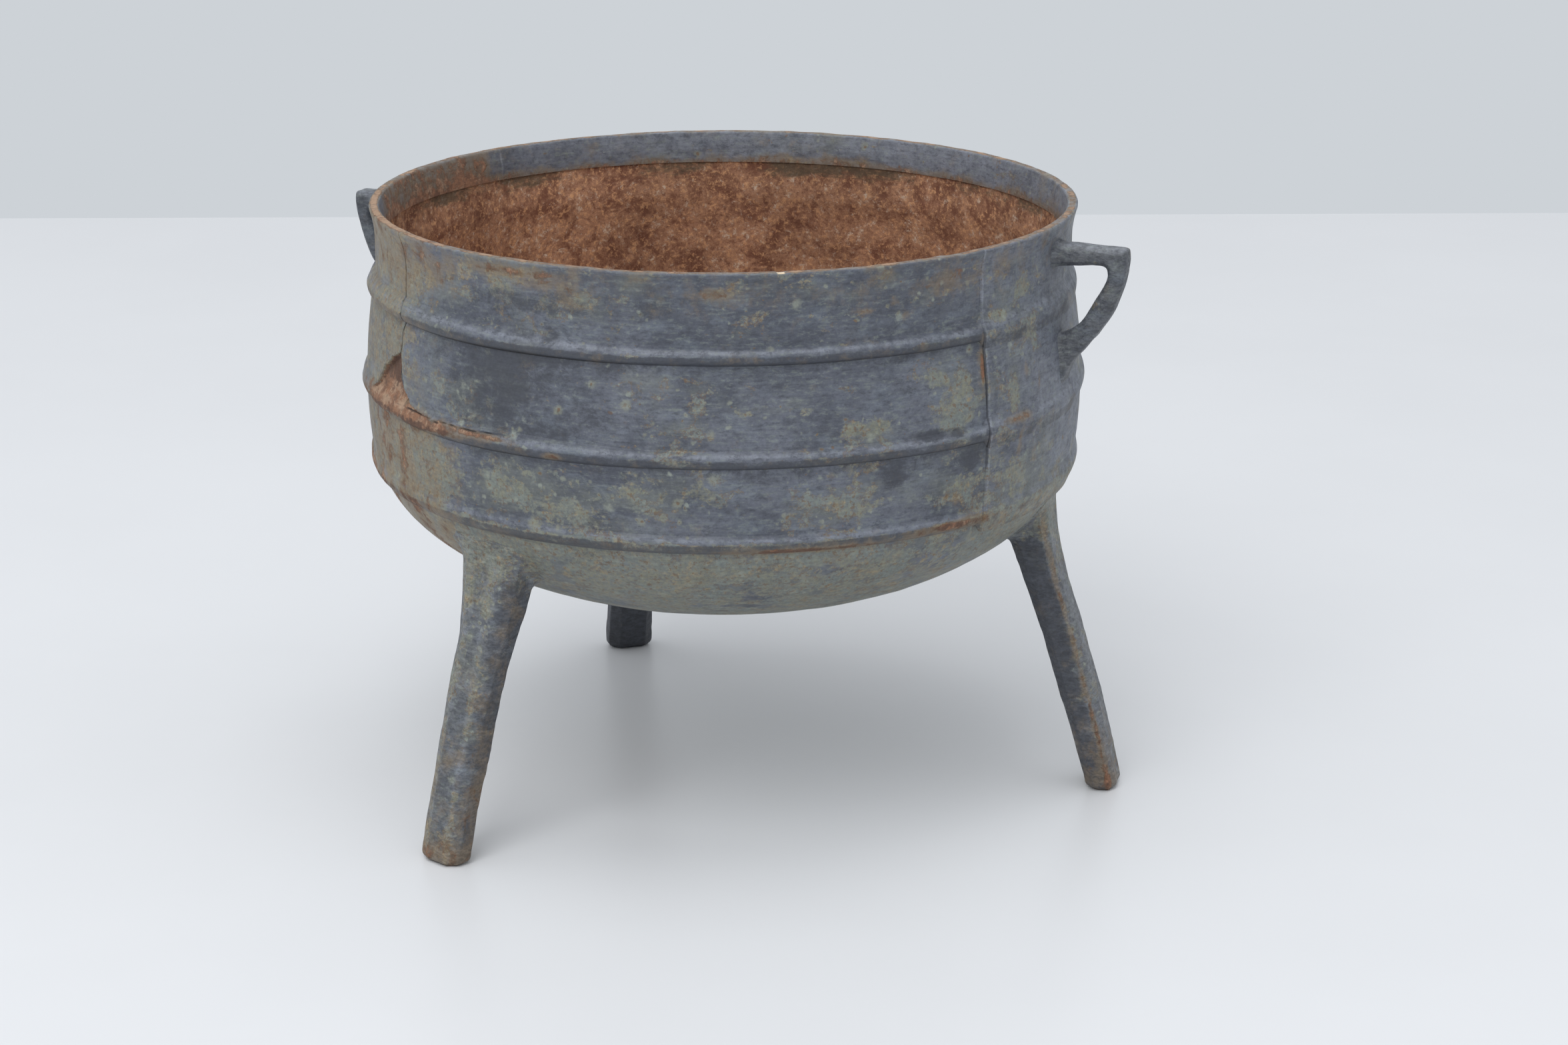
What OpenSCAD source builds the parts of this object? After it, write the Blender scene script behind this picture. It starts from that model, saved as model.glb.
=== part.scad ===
// Three-legged cast iron cooking pot with a round bottom, raised bands and two loop ears.
// Millimetres. The origin is on the pot's axis at the floor, +Z is up and +X points to the right ear.
// Radii are worked out from the neck's radius, and heights of the wall from the top of the rim.

/* [Mouth and wall] */
// Height of the rim above the floor
pot_h = 421.5; // [390:0.5:460]
// Outer radius of the neck under the flared rim
neck_r = 246.5; // [210:0.5:280]
// How far the rim flares out from the neck
rim_out = 4.5; // [2:0.5:8]
// Height of the flare, from the neck to the top of the rim
flare_h = 25.5; // [18:0.5:34]
// Thickness of the wall
wall_t = 6; // [4:0.5:8]
// Thickness of the rim
rim_t = 7.5; // [7:0.5:10]
// Height of the rim ring, down to the ledge inside the mouth
rim_h = 23.5; // [15:0.5:34]
// Rounding of the rim's two top edges
lip_round = 2.4; // [1:0.2:3]

/* [Belly and round bottom] */
// How far the belly swells out from the neck
belly_out = 8.3; // [5:0.1:12]
// Depth of the widest place below the top of the rim
belly_drop = 128.5; // [115:0.5:140]
// Radius of the belly's upright curve
belly_curve = 380; // [330:5:430]
// Depth of the line between the belly and the round bottom, below the top of the rim
shoulder_drop = 181.5; // [165:0.5:195]
// Step in from the belly to the round bottom, under the lower band
shoulder_step = 1.9; // [0.5:0.1:3]
// How far the widest place of the bottom's oval lies above that line
bottom_rise = 9.5; // [0:0.5:16]
// Depth of the round bottom below the widest place of its oval
bottom_depth = 115; // [90:1:130]

/* [Bands] */
// Depth of the upper band below the top of the rim
upper_band_drop = 56.5; // [52:0.5:62]
// How far the upper band stands out
upper_band_out = 4.8; // [3:0.2:6]
// Depth of the middle band below the top of the rim
middle_band_drop = 124.5; // [116:0.5:134]
// How far the middle band stands out
middle_band_out = 3.6; // [2.4:0.2:6]
// How far the lower band stands out
lower_band_out = 2.6; // [1.6:0.2:4]
// Height of each band's own face on the wall
band_h = 12; // [10:0.5:15]

/* [Ears] */
// Width of the ear's bar, along the pot's wall
ear_w = 18; // [14:0.5:24]
// Depth of the ear's top face below the top of the rim
ear_drop = 15; // [10:0.5:20]
// Thickness of the ear's level bar
ear_bar_t = 15; // [12:0.5:18]
// How far the ear stands out from the neck
ear_out = 51.5; // [44:0.5:60]
// Thickness of the upright bar at its top
ear_upright_t = 14; // [10:0.5:16]
// Radius of the ear's curved outer face
ear_outer_curve = 105; // [95:1:115]
// Radius of the ear's finger gap
ear_gap_curve = 50; // [45:1:54]
// Chamfer along the ear's four edges
ear_chamfer = 3.5; // [2:0.5:5]
// Direction of the left ear, in degrees from the right one
left_ear_angle = 177; // [174:1:186]
// How much lower the left ear sits
left_ear_drop = 5; // [0:0.5:8]

/* [Legs] */
// How far the middle of a foot stands out from the neck
foot_out = 35.5; // [24:0.5:46]
// How much nearer the axis the rear foot stands
rear_foot_in = 12; // [0:1:16]
// Depth of the knee, where the leg turns more upright, below the shoulder
knee_drop = 70; // [55:1:85]
// How far the middle of the knee lies inside the neck's radius
knee_in = 17; // [10:0.5:24]
// How far the leg comes in from the knee to its top
haunch_in = 10; // [6:0.5:15]
// Thickness of the foot, from inside to outside
foot_t = 25; // [20:0.5:32]
// Width of the foot, along the foot circle
foot_w = 39; // [32:0.5:46]
// Thickness of the leg half way up
shin_t = 28.5; // [22:0.5:34]
// Width of the leg at the knee
knee_w = 46; // [40:0.5:52]
// Thickness of the leg's root at the bowl
root_t = 32; // [28:0.5:40]
// Width of the leg's root at the bowl
root_w = 57; // [48:0.5:66]
// Chamfer along the leg's four edges
leg_chamfer = 7.5; // [4:0.5:9]
// Rounding of the foot's lower edges
foot_round = 6; // [3:0.5:8]
// Direction of the front right leg, in degrees from the right ear
front_right_leg_angle = 9; // [4:0.5:14]
// Direction of the rear leg
rear_leg_angle = 129; // [124:0.5:134]
// Direction of the front left leg
front_left_leg_angle = -112; // [-117:0.5:-107]

/* [Hidden] */

iron = "#5c6268";
dark_iron = "#45494f";
rusty_iron = "#7a5a44";

// Curve quality: facets of the pot's turn and of a band's tube, and steps along a drawn curve
pot_fn = 180;
band_fn = 48;
curve_steps = 12;
round_steps = 5;
foot_steps = 3;

// A little more than touching, so that a cut goes right through
over = 1;

// Where the ear's gap and its outer face start below the level, and how far they turn, in degrees
gap_start_angle = 8;
gap_sweep_angle = 90;
face_start_angle = 4;
face_sweep_angle = 56;

// Heights above the floor
rim_z = pot_h - rim_h;
flare_z = pot_h - flare_h;
belly_z = pot_h - belly_drop;
shoulder_z = pot_h - shoulder_drop;
bottom_z = shoulder_z + bottom_rise;
ear_top_z = pot_h - ear_drop;
knee_z = shoulder_z - knee_drop;
leg_top_z = shoulder_z - band_h;

// Radii, and the height where the belly's curve meets the upright neck
belly_r = neck_r + belly_out;
ear_reach = neck_r + ear_out;
foot_circle_r = neck_r + foot_out;
knee_r = neck_r - knee_in;
flare_curve = (pow(flare_h, 2) + pow(rim_out, 2)) / (2 * rim_out);
neck_z = belly_z + sqrt(pow(belly_curve, 2) - pow(belly_curve - belly_out, 2));
bottom_r = (belly_at(shoulder_z, 0) - shoulder_step) / sqrt(1 - pow(bottom_rise / bottom_depth, 2));

// Radius of the outer wall at height z, drawn in by t
function bottom_at(z, t) = (bottom_r - t) * sqrt(max(0, 1 - pow((z - bottom_z) / (bottom_depth - t), 2)));
function belly_at(z, t) = belly_r - belly_curve + sqrt(pow(belly_curve - t, 2) - pow(z - belly_z, 2));
function flare_at(z, t) = neck_r + flare_curve - sqrt(pow(flare_curve + t, 2) - pow(z - flare_z, 2));
function wall_at(z, t) = z < neck_z ? belly_at(z, t) : z < flare_z ? neck_r - t : flare_at(z, t);

// Values from a to b in n equal steps
function steps(a, b, n) = [for (i = [0 : n]) a + (b - a) * i / n];

// Heights of the outline's points on the belly and on the flare
wall_heights = concat(steps(shoulder_z, neck_z, curve_steps), steps(flare_z, pot_h + over, curve_steps));

// Points of the round bottom from its lowest point up to the shoulder, drawn in by t
function bottom_points(t) = [
  let (rise = asin((shoulder_z - bottom_z) / (bottom_depth - t)))
  for (a = steps(-90, rise, 2 * curve_steps))
    [(bottom_r - t) * cos(a), bottom_z + (bottom_depth - t) * sin(a)]
];

// Points of the wall above the shoulder, between two heights, drawn in by t
function wall_points(z0, z1, t) = [
  for (z = concat([z0], [for (h = wall_heights) if (h > z0 && h < z1) h], [z1])) [wall_at(z, t), z]
];

// A list backwards
function reversed(list) = [for (i = [len(list) - 1 : -1 : 0]) list[i]];

// The pot's outer form as a solid, that the ears, legs and bands are seated on
module envelope() {
  rotate_extrude($fn = pot_fn)
    polygon(concat(
      bottom_points(0),
      wall_points(shoulder_z, pot_h + over, 0),
      [[0, pot_h + over]]
    ));
}

// The round bottom, up to the line under the lower band
module round_bottom() {
  color(iron)
    rotate_extrude($fn = pot_fn)
      polygon(concat(bottom_points(0), reversed(bottom_points(wall_t))));
}

// The wall from that line up to the ledge inside the mouth
module belly() {
  color(iron)
    rotate_extrude($fn = pot_fn)
      polygon(concat(
        wall_points(shoulder_z, rim_z, 0),
        reversed(wall_points(shoulder_z, rim_z, wall_t))
      ));
}

// The thicker ring above the ledge, with its two top edges rounded
module rim() {
  lip_z = pot_h - lip_round;
  outer_top = wall_at(lip_z, 0);
  inner_top = wall_at(lip_z, rim_t);
  round_off = [for (i = [1 : round_steps]) 90 * i / round_steps];
  color(rusty_iron)
    rotate_extrude($fn = pot_fn)
      polygon(concat(
        wall_points(rim_z, lip_z, 0),
        [for (a = round_off) [outer_top - lip_round * (1 - cos(a)), lip_z + lip_round * sin(a)]],
        [for (a = reversed(round_off)) [inner_top + lip_round * (1 - cos(a)), lip_z + lip_round * sin(a)]],
        reversed(wall_points(rim_z, lip_z, rim_t))
      ));
}

// A half-round ring on the wall, from its height and how far it stands out
module band(z, out) {
  tube_r = (pow(band_h / 2, 2) + pow(out, 2)) / (2 * out);
  color(iron)
    difference() {
      rotate_extrude($fn = pot_fn)
        translate([wall_at(z, 0) + out - tube_r, z])
          circle(r = tube_r, $fn = band_fn);
      envelope();
    }
}

module upper_band() {
  band(pot_h - upper_band_drop, upper_band_out);
}

module middle_band() {
  band(pot_h - middle_band_drop, middle_band_out);
}

module lower_band() {
  band(shoulder_z, lower_band_out);
}

// A rectangle's eight corners with its corners cut off by c, in the plane of the axes u and v
function bar_section(centre, u, v, tu, tv, c) = [
  for (s = [[1, 1], [-1, 1], [-1, -1], [1, -1]], k = [0, 1])
    let (first = (s[0] * s[1] > 0) ? k : 1 - k)
    centre + u * s[0] * (tu / 2 - (first == 0 ? 0 : c)) + v * s[1] * (tv / 2 - (first == 0 ? c : 0))
];

// A bar through a row of eight-cornered sections
module swept_bar(sections) {
  n = len(sections);
  m = len(sections[0]);
  polyhedron(
    points = [for (s = sections, p = s) p],
    faces = concat(
      [[for (j = [m - 1 : -1 : 0]) j]],
      [for (i = [0 : n - 2], j = [0 : m - 1])
        [i * m + j, i * m + (j + 1) % m, (i + 1) * m + (j + 1) % m, (i + 1) * m + j]],
      [[for (j = [0 : m - 1]) (n - 1) * m + j]]
    ),
    convexity = 4
  );
}

// The ear's section between a point of its inner edge and one of its outer edge
function ear_section(inner, outer) =
  let (span = outer - inner, t = norm(span))
  bar_section((inner + outer) / 2, span / t, [0, 1, 0], t, ear_w, ear_chamfer);

// A point on a circle in the ear's upright plane, turned down from the level by a
function ear_point(centre, r, a) = centre + r * [cos(a), 0, -sin(a)];

// An ear along +X: a level bar, a mitred corner, and an upright that curves back to the wall
module ear() {
  root_x = neck_r - wall_t;
  gap_top_z = ear_top_z - ear_bar_t;
  gap_x = ear_reach - ear_upright_t;
  gap_centre = [gap_x - ear_gap_curve, 0, gap_top_z + ear_chamfer / 2];
  face_centre = [ear_reach - ear_outer_curve, 0, ear_top_z - ear_chamfer];
  level_bar = [
    ear_section([root_x, 0, gap_top_z], [root_x, 0, ear_top_z]),
    ear_section([gap_x - 2 * ear_chamfer, 0, gap_top_z], [gap_x - ear_chamfer, 0, ear_top_z])
  ];
  corner = [ear_section([gap_x - ear_chamfer / 2, 0, gap_top_z], [ear_reach, 0, ear_top_z])];
  upright = [
    for (s = steps(0, 1, curve_steps))
      ear_section(
        ear_point(gap_centre, ear_gap_curve, gap_start_angle + gap_sweep_angle * s),
        ear_point(face_centre, ear_outer_curve, face_start_angle + face_sweep_angle * s)
      )
  ];
  swept_bar(concat(level_bar, corner, upright));
}

module right_ear() {
  color(dark_iron)
    difference() {
      ear();
      envelope();
    }
}

module left_ear() {
  color(dark_iron)
    difference() {
      translate([0, 0, -left_ear_drop])
        rotate([0, 0, left_ear_angle])
          ear();
      envelope();
    }
}

// Middle of a leg at height z, from the pot's axis, where its foot stands at foot_r
function leg_at(z, foot_r) = z < knee_z
  ? foot_r + (knee_r - foot_r) * z / knee_z
  : knee_r - haunch_in * (z - knee_z) / (leg_top_z - knee_z);

// The leg's level section at height z, drawn in by c all round
function leg_section(z, foot_r, t, w, c = 0) =
  bar_section([leg_at(z, foot_r), 0, z], [1, 0, 0], [0, 1, 0], t - 2 * c, w - 2 * c, leg_chamfer);

// A leg from its rounded foot up to the bowl's wall
module leg(turn, foot_r = foot_circle_r) {
  foot = [
    for (a = steps(0, 90, foot_steps))
      leg_section(foot_round * (1 - cos(a)), foot_r, foot_t, foot_w, foot_round * (1 - sin(a)))
  ];
  upper = [
    leg_section(knee_z / 2, foot_r, shin_t, foot_w),
    leg_section(knee_z, foot_r, shin_t, knee_w),
    leg_section(leg_top_z, foot_r, root_t, root_w)
  ];
  color(dark_iron)
    difference() {
      rotate([0, 0, turn])
        swept_bar(concat(foot, upper));
      envelope();
    }
}

module front_left_leg() {
  leg(front_left_leg_angle);
}

module front_right_leg() {
  leg(front_right_leg_angle);
}

module rear_leg() {
  leg(rear_leg_angle, foot_circle_r - rear_foot_in);
}

round_bottom();
belly();
rim();
upper_band();
middle_band();
lower_band();
right_ear();
left_ear();
front_left_leg();
front_right_leg();
rear_leg();
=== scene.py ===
# %% [markdown]
# # An old cast iron cooking pot
# The real pot is one sand casting: a round bottom, an upright belly with three raised bands, a flared
# rim, two angular loop ears and three splayed legs. A lesson could carve it all from one mesh, but here
# each cast-on part stays a piece of its own, so that each can have the grid that suits it: turned
# surfaces for the bowl, lofted bars for the ears and legs. Everything is in metres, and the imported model
# is the fixed frame that it is built round.

# %% Load the frame
import math

import bpy
import numpy as np
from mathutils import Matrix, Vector


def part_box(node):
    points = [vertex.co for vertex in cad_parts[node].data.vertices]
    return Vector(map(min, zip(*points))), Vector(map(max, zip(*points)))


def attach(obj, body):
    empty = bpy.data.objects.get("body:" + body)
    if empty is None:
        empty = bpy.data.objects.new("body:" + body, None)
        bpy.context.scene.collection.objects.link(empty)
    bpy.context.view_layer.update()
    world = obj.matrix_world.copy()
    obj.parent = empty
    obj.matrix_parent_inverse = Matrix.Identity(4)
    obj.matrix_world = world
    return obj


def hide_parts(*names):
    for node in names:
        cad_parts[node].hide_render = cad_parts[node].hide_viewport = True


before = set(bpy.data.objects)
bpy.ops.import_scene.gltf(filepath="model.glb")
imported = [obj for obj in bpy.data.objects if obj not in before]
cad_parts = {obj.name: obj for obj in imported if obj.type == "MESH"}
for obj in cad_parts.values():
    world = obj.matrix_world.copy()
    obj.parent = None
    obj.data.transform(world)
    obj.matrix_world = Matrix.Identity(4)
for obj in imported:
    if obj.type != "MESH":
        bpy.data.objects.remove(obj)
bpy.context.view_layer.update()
print("nodes:", sorted(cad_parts))

# %% [markdown]
# ## Camera
# The camera stands where the picture was taken from. It could be placed by eye, but the ovals of the rim
# and the bands fix it well: two and a half metres away, a little under a metre up, with a long lens. Its
# angles are in degrees, its lengths in metres, and the lens comes from the focus in pixels of the
# picture.

# %% Camera
PICTURE_WIDTH = 2352
SENSOR_WIDTH = 36.0
CAMERA_AZIMUTH = 22.0
CAMERA_DISTANCE = 2.5536
CAMERA_HEIGHT = 0.9462
CAMERA_PITCH = 16.72
CAMERA_YAW = 0.957
FOCUS_IN_PIXELS = 5507.6


def turned(points, angle):
    """The points, turned about the pot's axis by angle, in degrees."""
    c, s = math.cos(math.radians(angle)), math.sin(math.radians(angle))
    x, y, z = np.moveaxis(np.asarray(points, float), -1, 0)
    return np.stack([c * x - s * y, s * x + c * y, z], axis=-1)


yaw, pitch = math.radians(CAMERA_YAW), math.radians(CAMERA_PITCH)
camera = bpy.data.objects.new("camera", bpy.data.cameras.new("camera"))
camera.location = turned([0, -CAMERA_DISTANCE, CAMERA_HEIGHT], CAMERA_AZIMUTH)
level = math.cos(pitch)
look = Vector(turned([math.sin(yaw) * level, math.cos(yaw) * level, -math.sin(pitch)], CAMERA_AZIMUTH))
camera.rotation_mode = "QUATERNION"
camera.rotation_quaternion = look.to_track_quat("-Z", "Y")
camera.data.sensor_width = SENSOR_WIDTH
camera.data.lens = SENSOR_WIDTH * FOCUS_IN_PIXELS / PICTURE_WIDTH
bpy.context.scene.collection.objects.link(camera)
bpy.context.scene.camera = camera
print("lens", round(camera.data.lens, 1), "mm")

# %% [markdown]
# ## Sizes
# The frame already holds the pot's true sizes, so they are read from the boxes of its nodes. Only the
# shapes of the curves between those sizes are repeated here, because a box can't tell them.

# %% Sizes
MM = 0.001
WALL = 6 * MM
RIM_WALL = 7.5 * MM
LIP_ROUND = 2.4 * MM
BELLY_OUT = 8.3 * MM
BELLY_CURVE = 380 * MM
RIM_OUT = 4.5 * MM
FLARE_HEIGHT = 25.5 * MM
BOTTOM_RISE = 9.5 * MM
BOTTOM_DEPTH = 115 * MM
SHOULDER_STEP = 1.9 * MM
WIDEST_BELOW_BAND = 4 * MM


def middle(name, axis):
    """The middle of a node's box along an axis."""
    low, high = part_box(name)
    return (low[axis] + high[axis]) / 2


def azimuth_of(name):
    """Where a node's box stands round the pot's axis, in degrees."""
    return math.degrees(math.atan2(middle(name, 1), middle(name, 0)))


rim_low, rim_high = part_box("rim")
belly_low, belly_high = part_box("belly")
pot_top, ledge_z, shoulder_z = rim_high.z, rim_low.z, belly_low.z
belly_r = belly_high.x
neck_r = belly_r - BELLY_OUT
flare_z = pot_top - FLARE_HEIGHT
belly_z = middle("middle_band", 2) - WIDEST_BELOW_BAND
neck_z = belly_z + math.sqrt(BELLY_CURVE**2 - (BELLY_CURVE - BELLY_OUT) ** 2)
flare_curve = (FLARE_HEIGHT**2 + RIM_OUT**2) / (2 * RIM_OUT)
bottom_z = shoulder_z + BOTTOM_RISE
print("top", round(pot_top, 4), "neck", round(neck_r, 4), "belly at", round(belly_z, 4))


# %% The wall's outline
def smooth(low, high, x):
    """0 at low, 1 at high, an even slope between, and level beyond. Low may be the greater of the two."""
    t = np.clip((np.asarray(x, float) - low) / (high - low), 0, 1)
    return t * t * (3 - 2 * t)


def hump(x, centre, half, power=2):
    """1 at the centre, about a third at half to either side of it, and soon 0 beyond."""
    return np.exp(-(((x - centre) / half) ** power))


def wall_radius(z):
    """Radius of the plain outer wall above the shoulder."""
    z = np.asarray(z, float)
    belly = belly_r - BELLY_CURVE + np.sqrt(BELLY_CURVE**2 - (np.minimum(z, neck_z) - belly_z) ** 2)
    flare = neck_r + flare_curve - np.sqrt(flare_curve**2 - np.clip(z - flare_z, 0, FLARE_HEIGHT) ** 2)
    return np.where(z < neck_z, belly, flare)


bottom_r = (wall_radius(shoulder_z) - SHOULDER_STEP) / math.sqrt(1 - (BOTTOM_RISE / BOTTOM_DEPTH) ** 2)
print("round bottom", round(float(bottom_r), 4), "lowest at", round(bottom_z - BOTTOM_DEPTH, 4))

# %% [markdown]
# ## Casting roughness
# Sand leaves a skin of soft lumps on iron. A displacement texture could do it, but the same skin has to
# run on from piece to piece, so it is a function of the place in space: smooth lattice noise, summed at a
# few sizes.


# %% Noise in space
def lattice(cell, seed):
    """A repeatable number from 0 to 1 for each whole-numbered corner."""
    h = (cell[..., 0] * 374761393 + cell[..., 1] * 668265263 + cell[..., 2] * 1440662683 + seed * 974634777)
    h = ((h & 0xFFFFFFFF) ^ ((h & 0xFFFFFFFF) >> 13)) * 1274126177
    return ((h >> 16) & 0xFFFF) / 0xFFFF


def noise(points, cell, seed=0):
    """Smooth noise from -1 to 1 with lumps of about the size of cell. Each seed gives another pattern."""
    place = points / cell
    low = np.floor(place).astype(np.int64)
    part = place - low
    part = part * part * (3 - 2 * part)
    total = 0
    for corner in np.ndindex(2, 2, 2):
        share = np.where(corner, part, 1 - part).prod(axis=-1)
        total = total + share * lattice(low + corner, seed)
    return 2 * total - 1


def lumps(points, cell, octaves=3, seed=0):
    """Noise at several sizes, each half the size and height of the one before."""
    return sum(noise(points, cell / 2**k, seed + k) / 2**k for k in range(octaves))


def on_pot(azimuth, radius, z):
    """Points from azimuth in degrees, radius and height."""
    a = np.radians(azimuth)
    return np.stack(np.broadcast_arrays(radius * np.cos(a), radius * np.sin(a), z), axis=-1)


neck_lumps = lumps(on_pot(np.arange(360), neck_r, neck_z), 45 * MM)
print("lumps round the neck go from", neck_lumps.min().round(2), "to", neck_lumps.max().round(2))

# %% [markdown]
# ## The crack, the broken place and the seam
# A crack runs down from the rim at the left, and below the upper band a flake of the wall has broken out
# beside it. At the right the two halves of the sand mould met, which left a step and a thin fin. They
# could be cut with booleans, but a turned grid can carry them: the columns bend along the crack, and the
# radius dips where iron is gone.

# %% The crack, as heights in millimetres and azimuths in degrees
CRACK_HEIGHTS = [290, 303, 312, 325, 338, 343, 352, 361, 365, 372, 383, 396, 411, 422]
CRACK_AZIMUTHS = [-127.0, -126.0, -127.4, -128.4, -129.0, -128.8, -129.0,
                  -128.0, -128.6, -129.3, -129.2, -129.0, -129.3, -129.9]
CRACK_MIDDLE = -129.0
CRACK_LOW, CRACK_END = 303 * MM, 312 * MM
CRACK_WIDTH = 0.95 * MM
CRACK_DEPTH = 4.2 * MM


def crack_azimuth(z):
    """Where the crack is at each height."""
    return np.interp(z / MM, CRACK_HEIGHTS, CRACK_AZIMUTHS)


def past(azimuth, other):
    """How many degrees an azimuth lies past another, from -180 to 180."""
    return (np.asarray(azimuth) - other + 180) % 360 - 180


def arc(azimuth, other):
    """How far along the wall an azimuth lies past another, in metres."""
    return np.radians(past(azimuth, other)) * neck_r


def crack(azimuth, z):
    """How deep the crack is, from 0 to 1."""
    gap = np.abs(arc(azimuth, crack_azimuth(z)))
    ragged = 1 + 0.5 * noise(on_pot(azimuth, neck_r, z), 7 * MM, 50)
    return (1 - smooth(0.25 * CRACK_WIDTH, CRACK_WIDTH * ragged, gap)) * smooth(CRACK_LOW, CRACK_END, z)


crack_swing = arc(max(CRACK_AZIMUTHS), min(CRACK_AZIMUTHS)) / MM
print("the crack wanders over", round(float(crack_swing), 1), "mm of the wall")

# %% The broken flake, and the hairline beside it
FLAKE_HEIGHTS = [294, 300, 306, 316, 325, 332, 338]
FLAKE_LEFT = [-143.5, -141.0, -139.2, -136.8, -134.2, -132.0, -129.0]
FLAKE_RIGHT = [-113.0, -118.5, -125.0, -127.9, -128.6, -128.8, -129.0]
FLAKE_FOOT, FLAKE_DEEP = 295 * MM, 322 * MM
FLAKE_TOP, FLAKE_END = 337 * MM, 338.5 * MM
FLAKE_DEPTH = 3.9 * MM
HAIRLINE_AZIMUTHS = [-126, -119, -118, -114.5, -112.5, -108.7, -103]
HAIRLINE_HEIGHTS = [302.5, 302.5, 300.5, 302.5, 301.5, 302, 303.5]
HAIRLINE_START, HAIRLINE_STOP = (-126.5, -125.5), (-102, -106)
HAIRLINE_HALF = 0.9 * MM
HAIRLINE_DEPTH = 0.8 * MM


def flake(azimuth, z):
    """How deep the broken place is, from 0 to about 1: sharp at its edges, and run out on the band below."""
    heights = z / MM
    wobble = 0.5 * lumps(on_pot(azimuth, neck_r, z), 9 * MM, 2, 60)
    left = arc(azimuth, np.interp(heights, FLAKE_HEIGHTS, FLAKE_LEFT) + wobble)
    right = -arc(azimuth, np.interp(heights, FLAKE_HEIGHTS, FLAKE_RIGHT))
    inside = smooth(0, 1.2 * MM, left) * smooth(0, 1.2 * MM, right)
    torn = 1 + 0.16 * lumps(on_pot(azimuth, neck_r, z), 6 * MM, 2, 64)
    deepening = smooth(FLAKE_FOOT, FLAKE_DEEP, z) ** 0.7
    return torn * inside * deepening * (1 - smooth(FLAKE_TOP, FLAKE_END, z))


def hairline(azimuth, z):
    """A thin crack that runs on from the flake along the middle band, from 0 to 1."""
    gap = np.abs(z - np.interp(azimuth, HAIRLINE_AZIMUTHS, HAIRLINE_HEIGHTS) * MM)
    depth = 1 - smooth(0, HAIRLINE_HALF, gap)
    return depth * smooth(*HAIRLINE_START, azimuth) * smooth(*HAIRLINE_STOP, azimuth)


def lost_iron(azimuth, z):
    """How much of the wall is gone, in metres."""
    broken = crack(azimuth, z) * CRACK_DEPTH + flake(azimuth, z) * FLAKE_DEPTH
    return broken + hairline(azimuth, z) * HAIRLINE_DEPTH


across_flake = flake(np.arange(-143.0, -113.0), FLAKE_DEEP)
print("the flake is up to", round(float(across_flake.max() * FLAKE_DEPTH / MM), 1), "mm deep")

# %% The mould's seams, and the cast skin
SEAMS = [-24.3, 155.7]
SEAM_STEP = 1.4 * MM
SEAM_FADE = 22.0
SEAM_TOP, SEAM_END = 392 * MM, 416 * MM


def seam_step(azimuth, z):
    """The wall stands out just past each seam, and comes back to its line further on and up at the lip."""
    total = 0
    for seam in SEAMS:
        beyond = past(azimuth, seam)
        fin = hump(beyond, 0.12, 0.2) * 0.12
        total = total + smooth(-0.12, 0.12, beyond) * (1 - smooth(0, SEAM_FADE, beyond)) + fin
    return total * SEAM_STEP * (1 - smooth(SEAM_TOP, SEAM_END, z))


def past_seam(azimuth):
    """1 on the part of the wall right of the front seam, 0 left of it."""
    beyond = past(azimuth, SEAMS[0])
    return smooth(-1.0, 0.25, beyond) * (1 - smooth(150, 175, beyond))


def skin(azimuth, z):
    """The cast skin: soft lumps that lie a little under the true radius almost everywhere."""
    points = on_pot(azimuth, neck_r, z)
    return 0.30 * MM * (lumps(points, 45 * MM, 3, 1) - 1.2) + 0.10 * MM * noise(points, 6 * MM, 9)


step_past_seam = seam_step(SEAMS[0] + 1, belly_z) / MM
print("a degree past the seam the wall stands out", round(float(step_past_seam), 2), "mm")


# %% Columns of the turned pieces
CHIP_AZIMUTH = -59.5
FINE_SPOTS = [(-144.0, -112.0, 0.3), (-129.7, -128.3, 0.07), (CHIP_AZIMUTH - 1, CHIP_AZIMUTH + 1, 0.2)]
FINE_SPOTS += [(seam - 0.8, seam + 0.8, 0.12) for seam in SEAMS]
PLAIN_STEP = 1.0


def pot_columns():
    """Azimuths all round, closer together where something fine crosses them."""
    columns = [-180.0]
    while columns[-1] < 180:
        step = PLAIN_STEP
        for start, end, fine in FINE_SPOTS:
            if start - step < columns[-1] < end:
                step = min(step, fine)
        columns.append(columns[-1] + step)
    return np.array(columns[:-1]) if columns[-1] - 180 < PLAIN_STEP / 2 else np.array(columns[:-2])


COLUMNS = pot_columns()


def bent(azimuth, z):
    """Azimuths that lean along the crack where they are near it."""
    pull = smooth(10, 1.5, np.abs(azimuth - CRACK_MIDDLE))
    return azimuth + pull * (crack_azimuth(z) - CRACK_MIDDLE)


print("columns:", len(COLUMNS))
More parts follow.
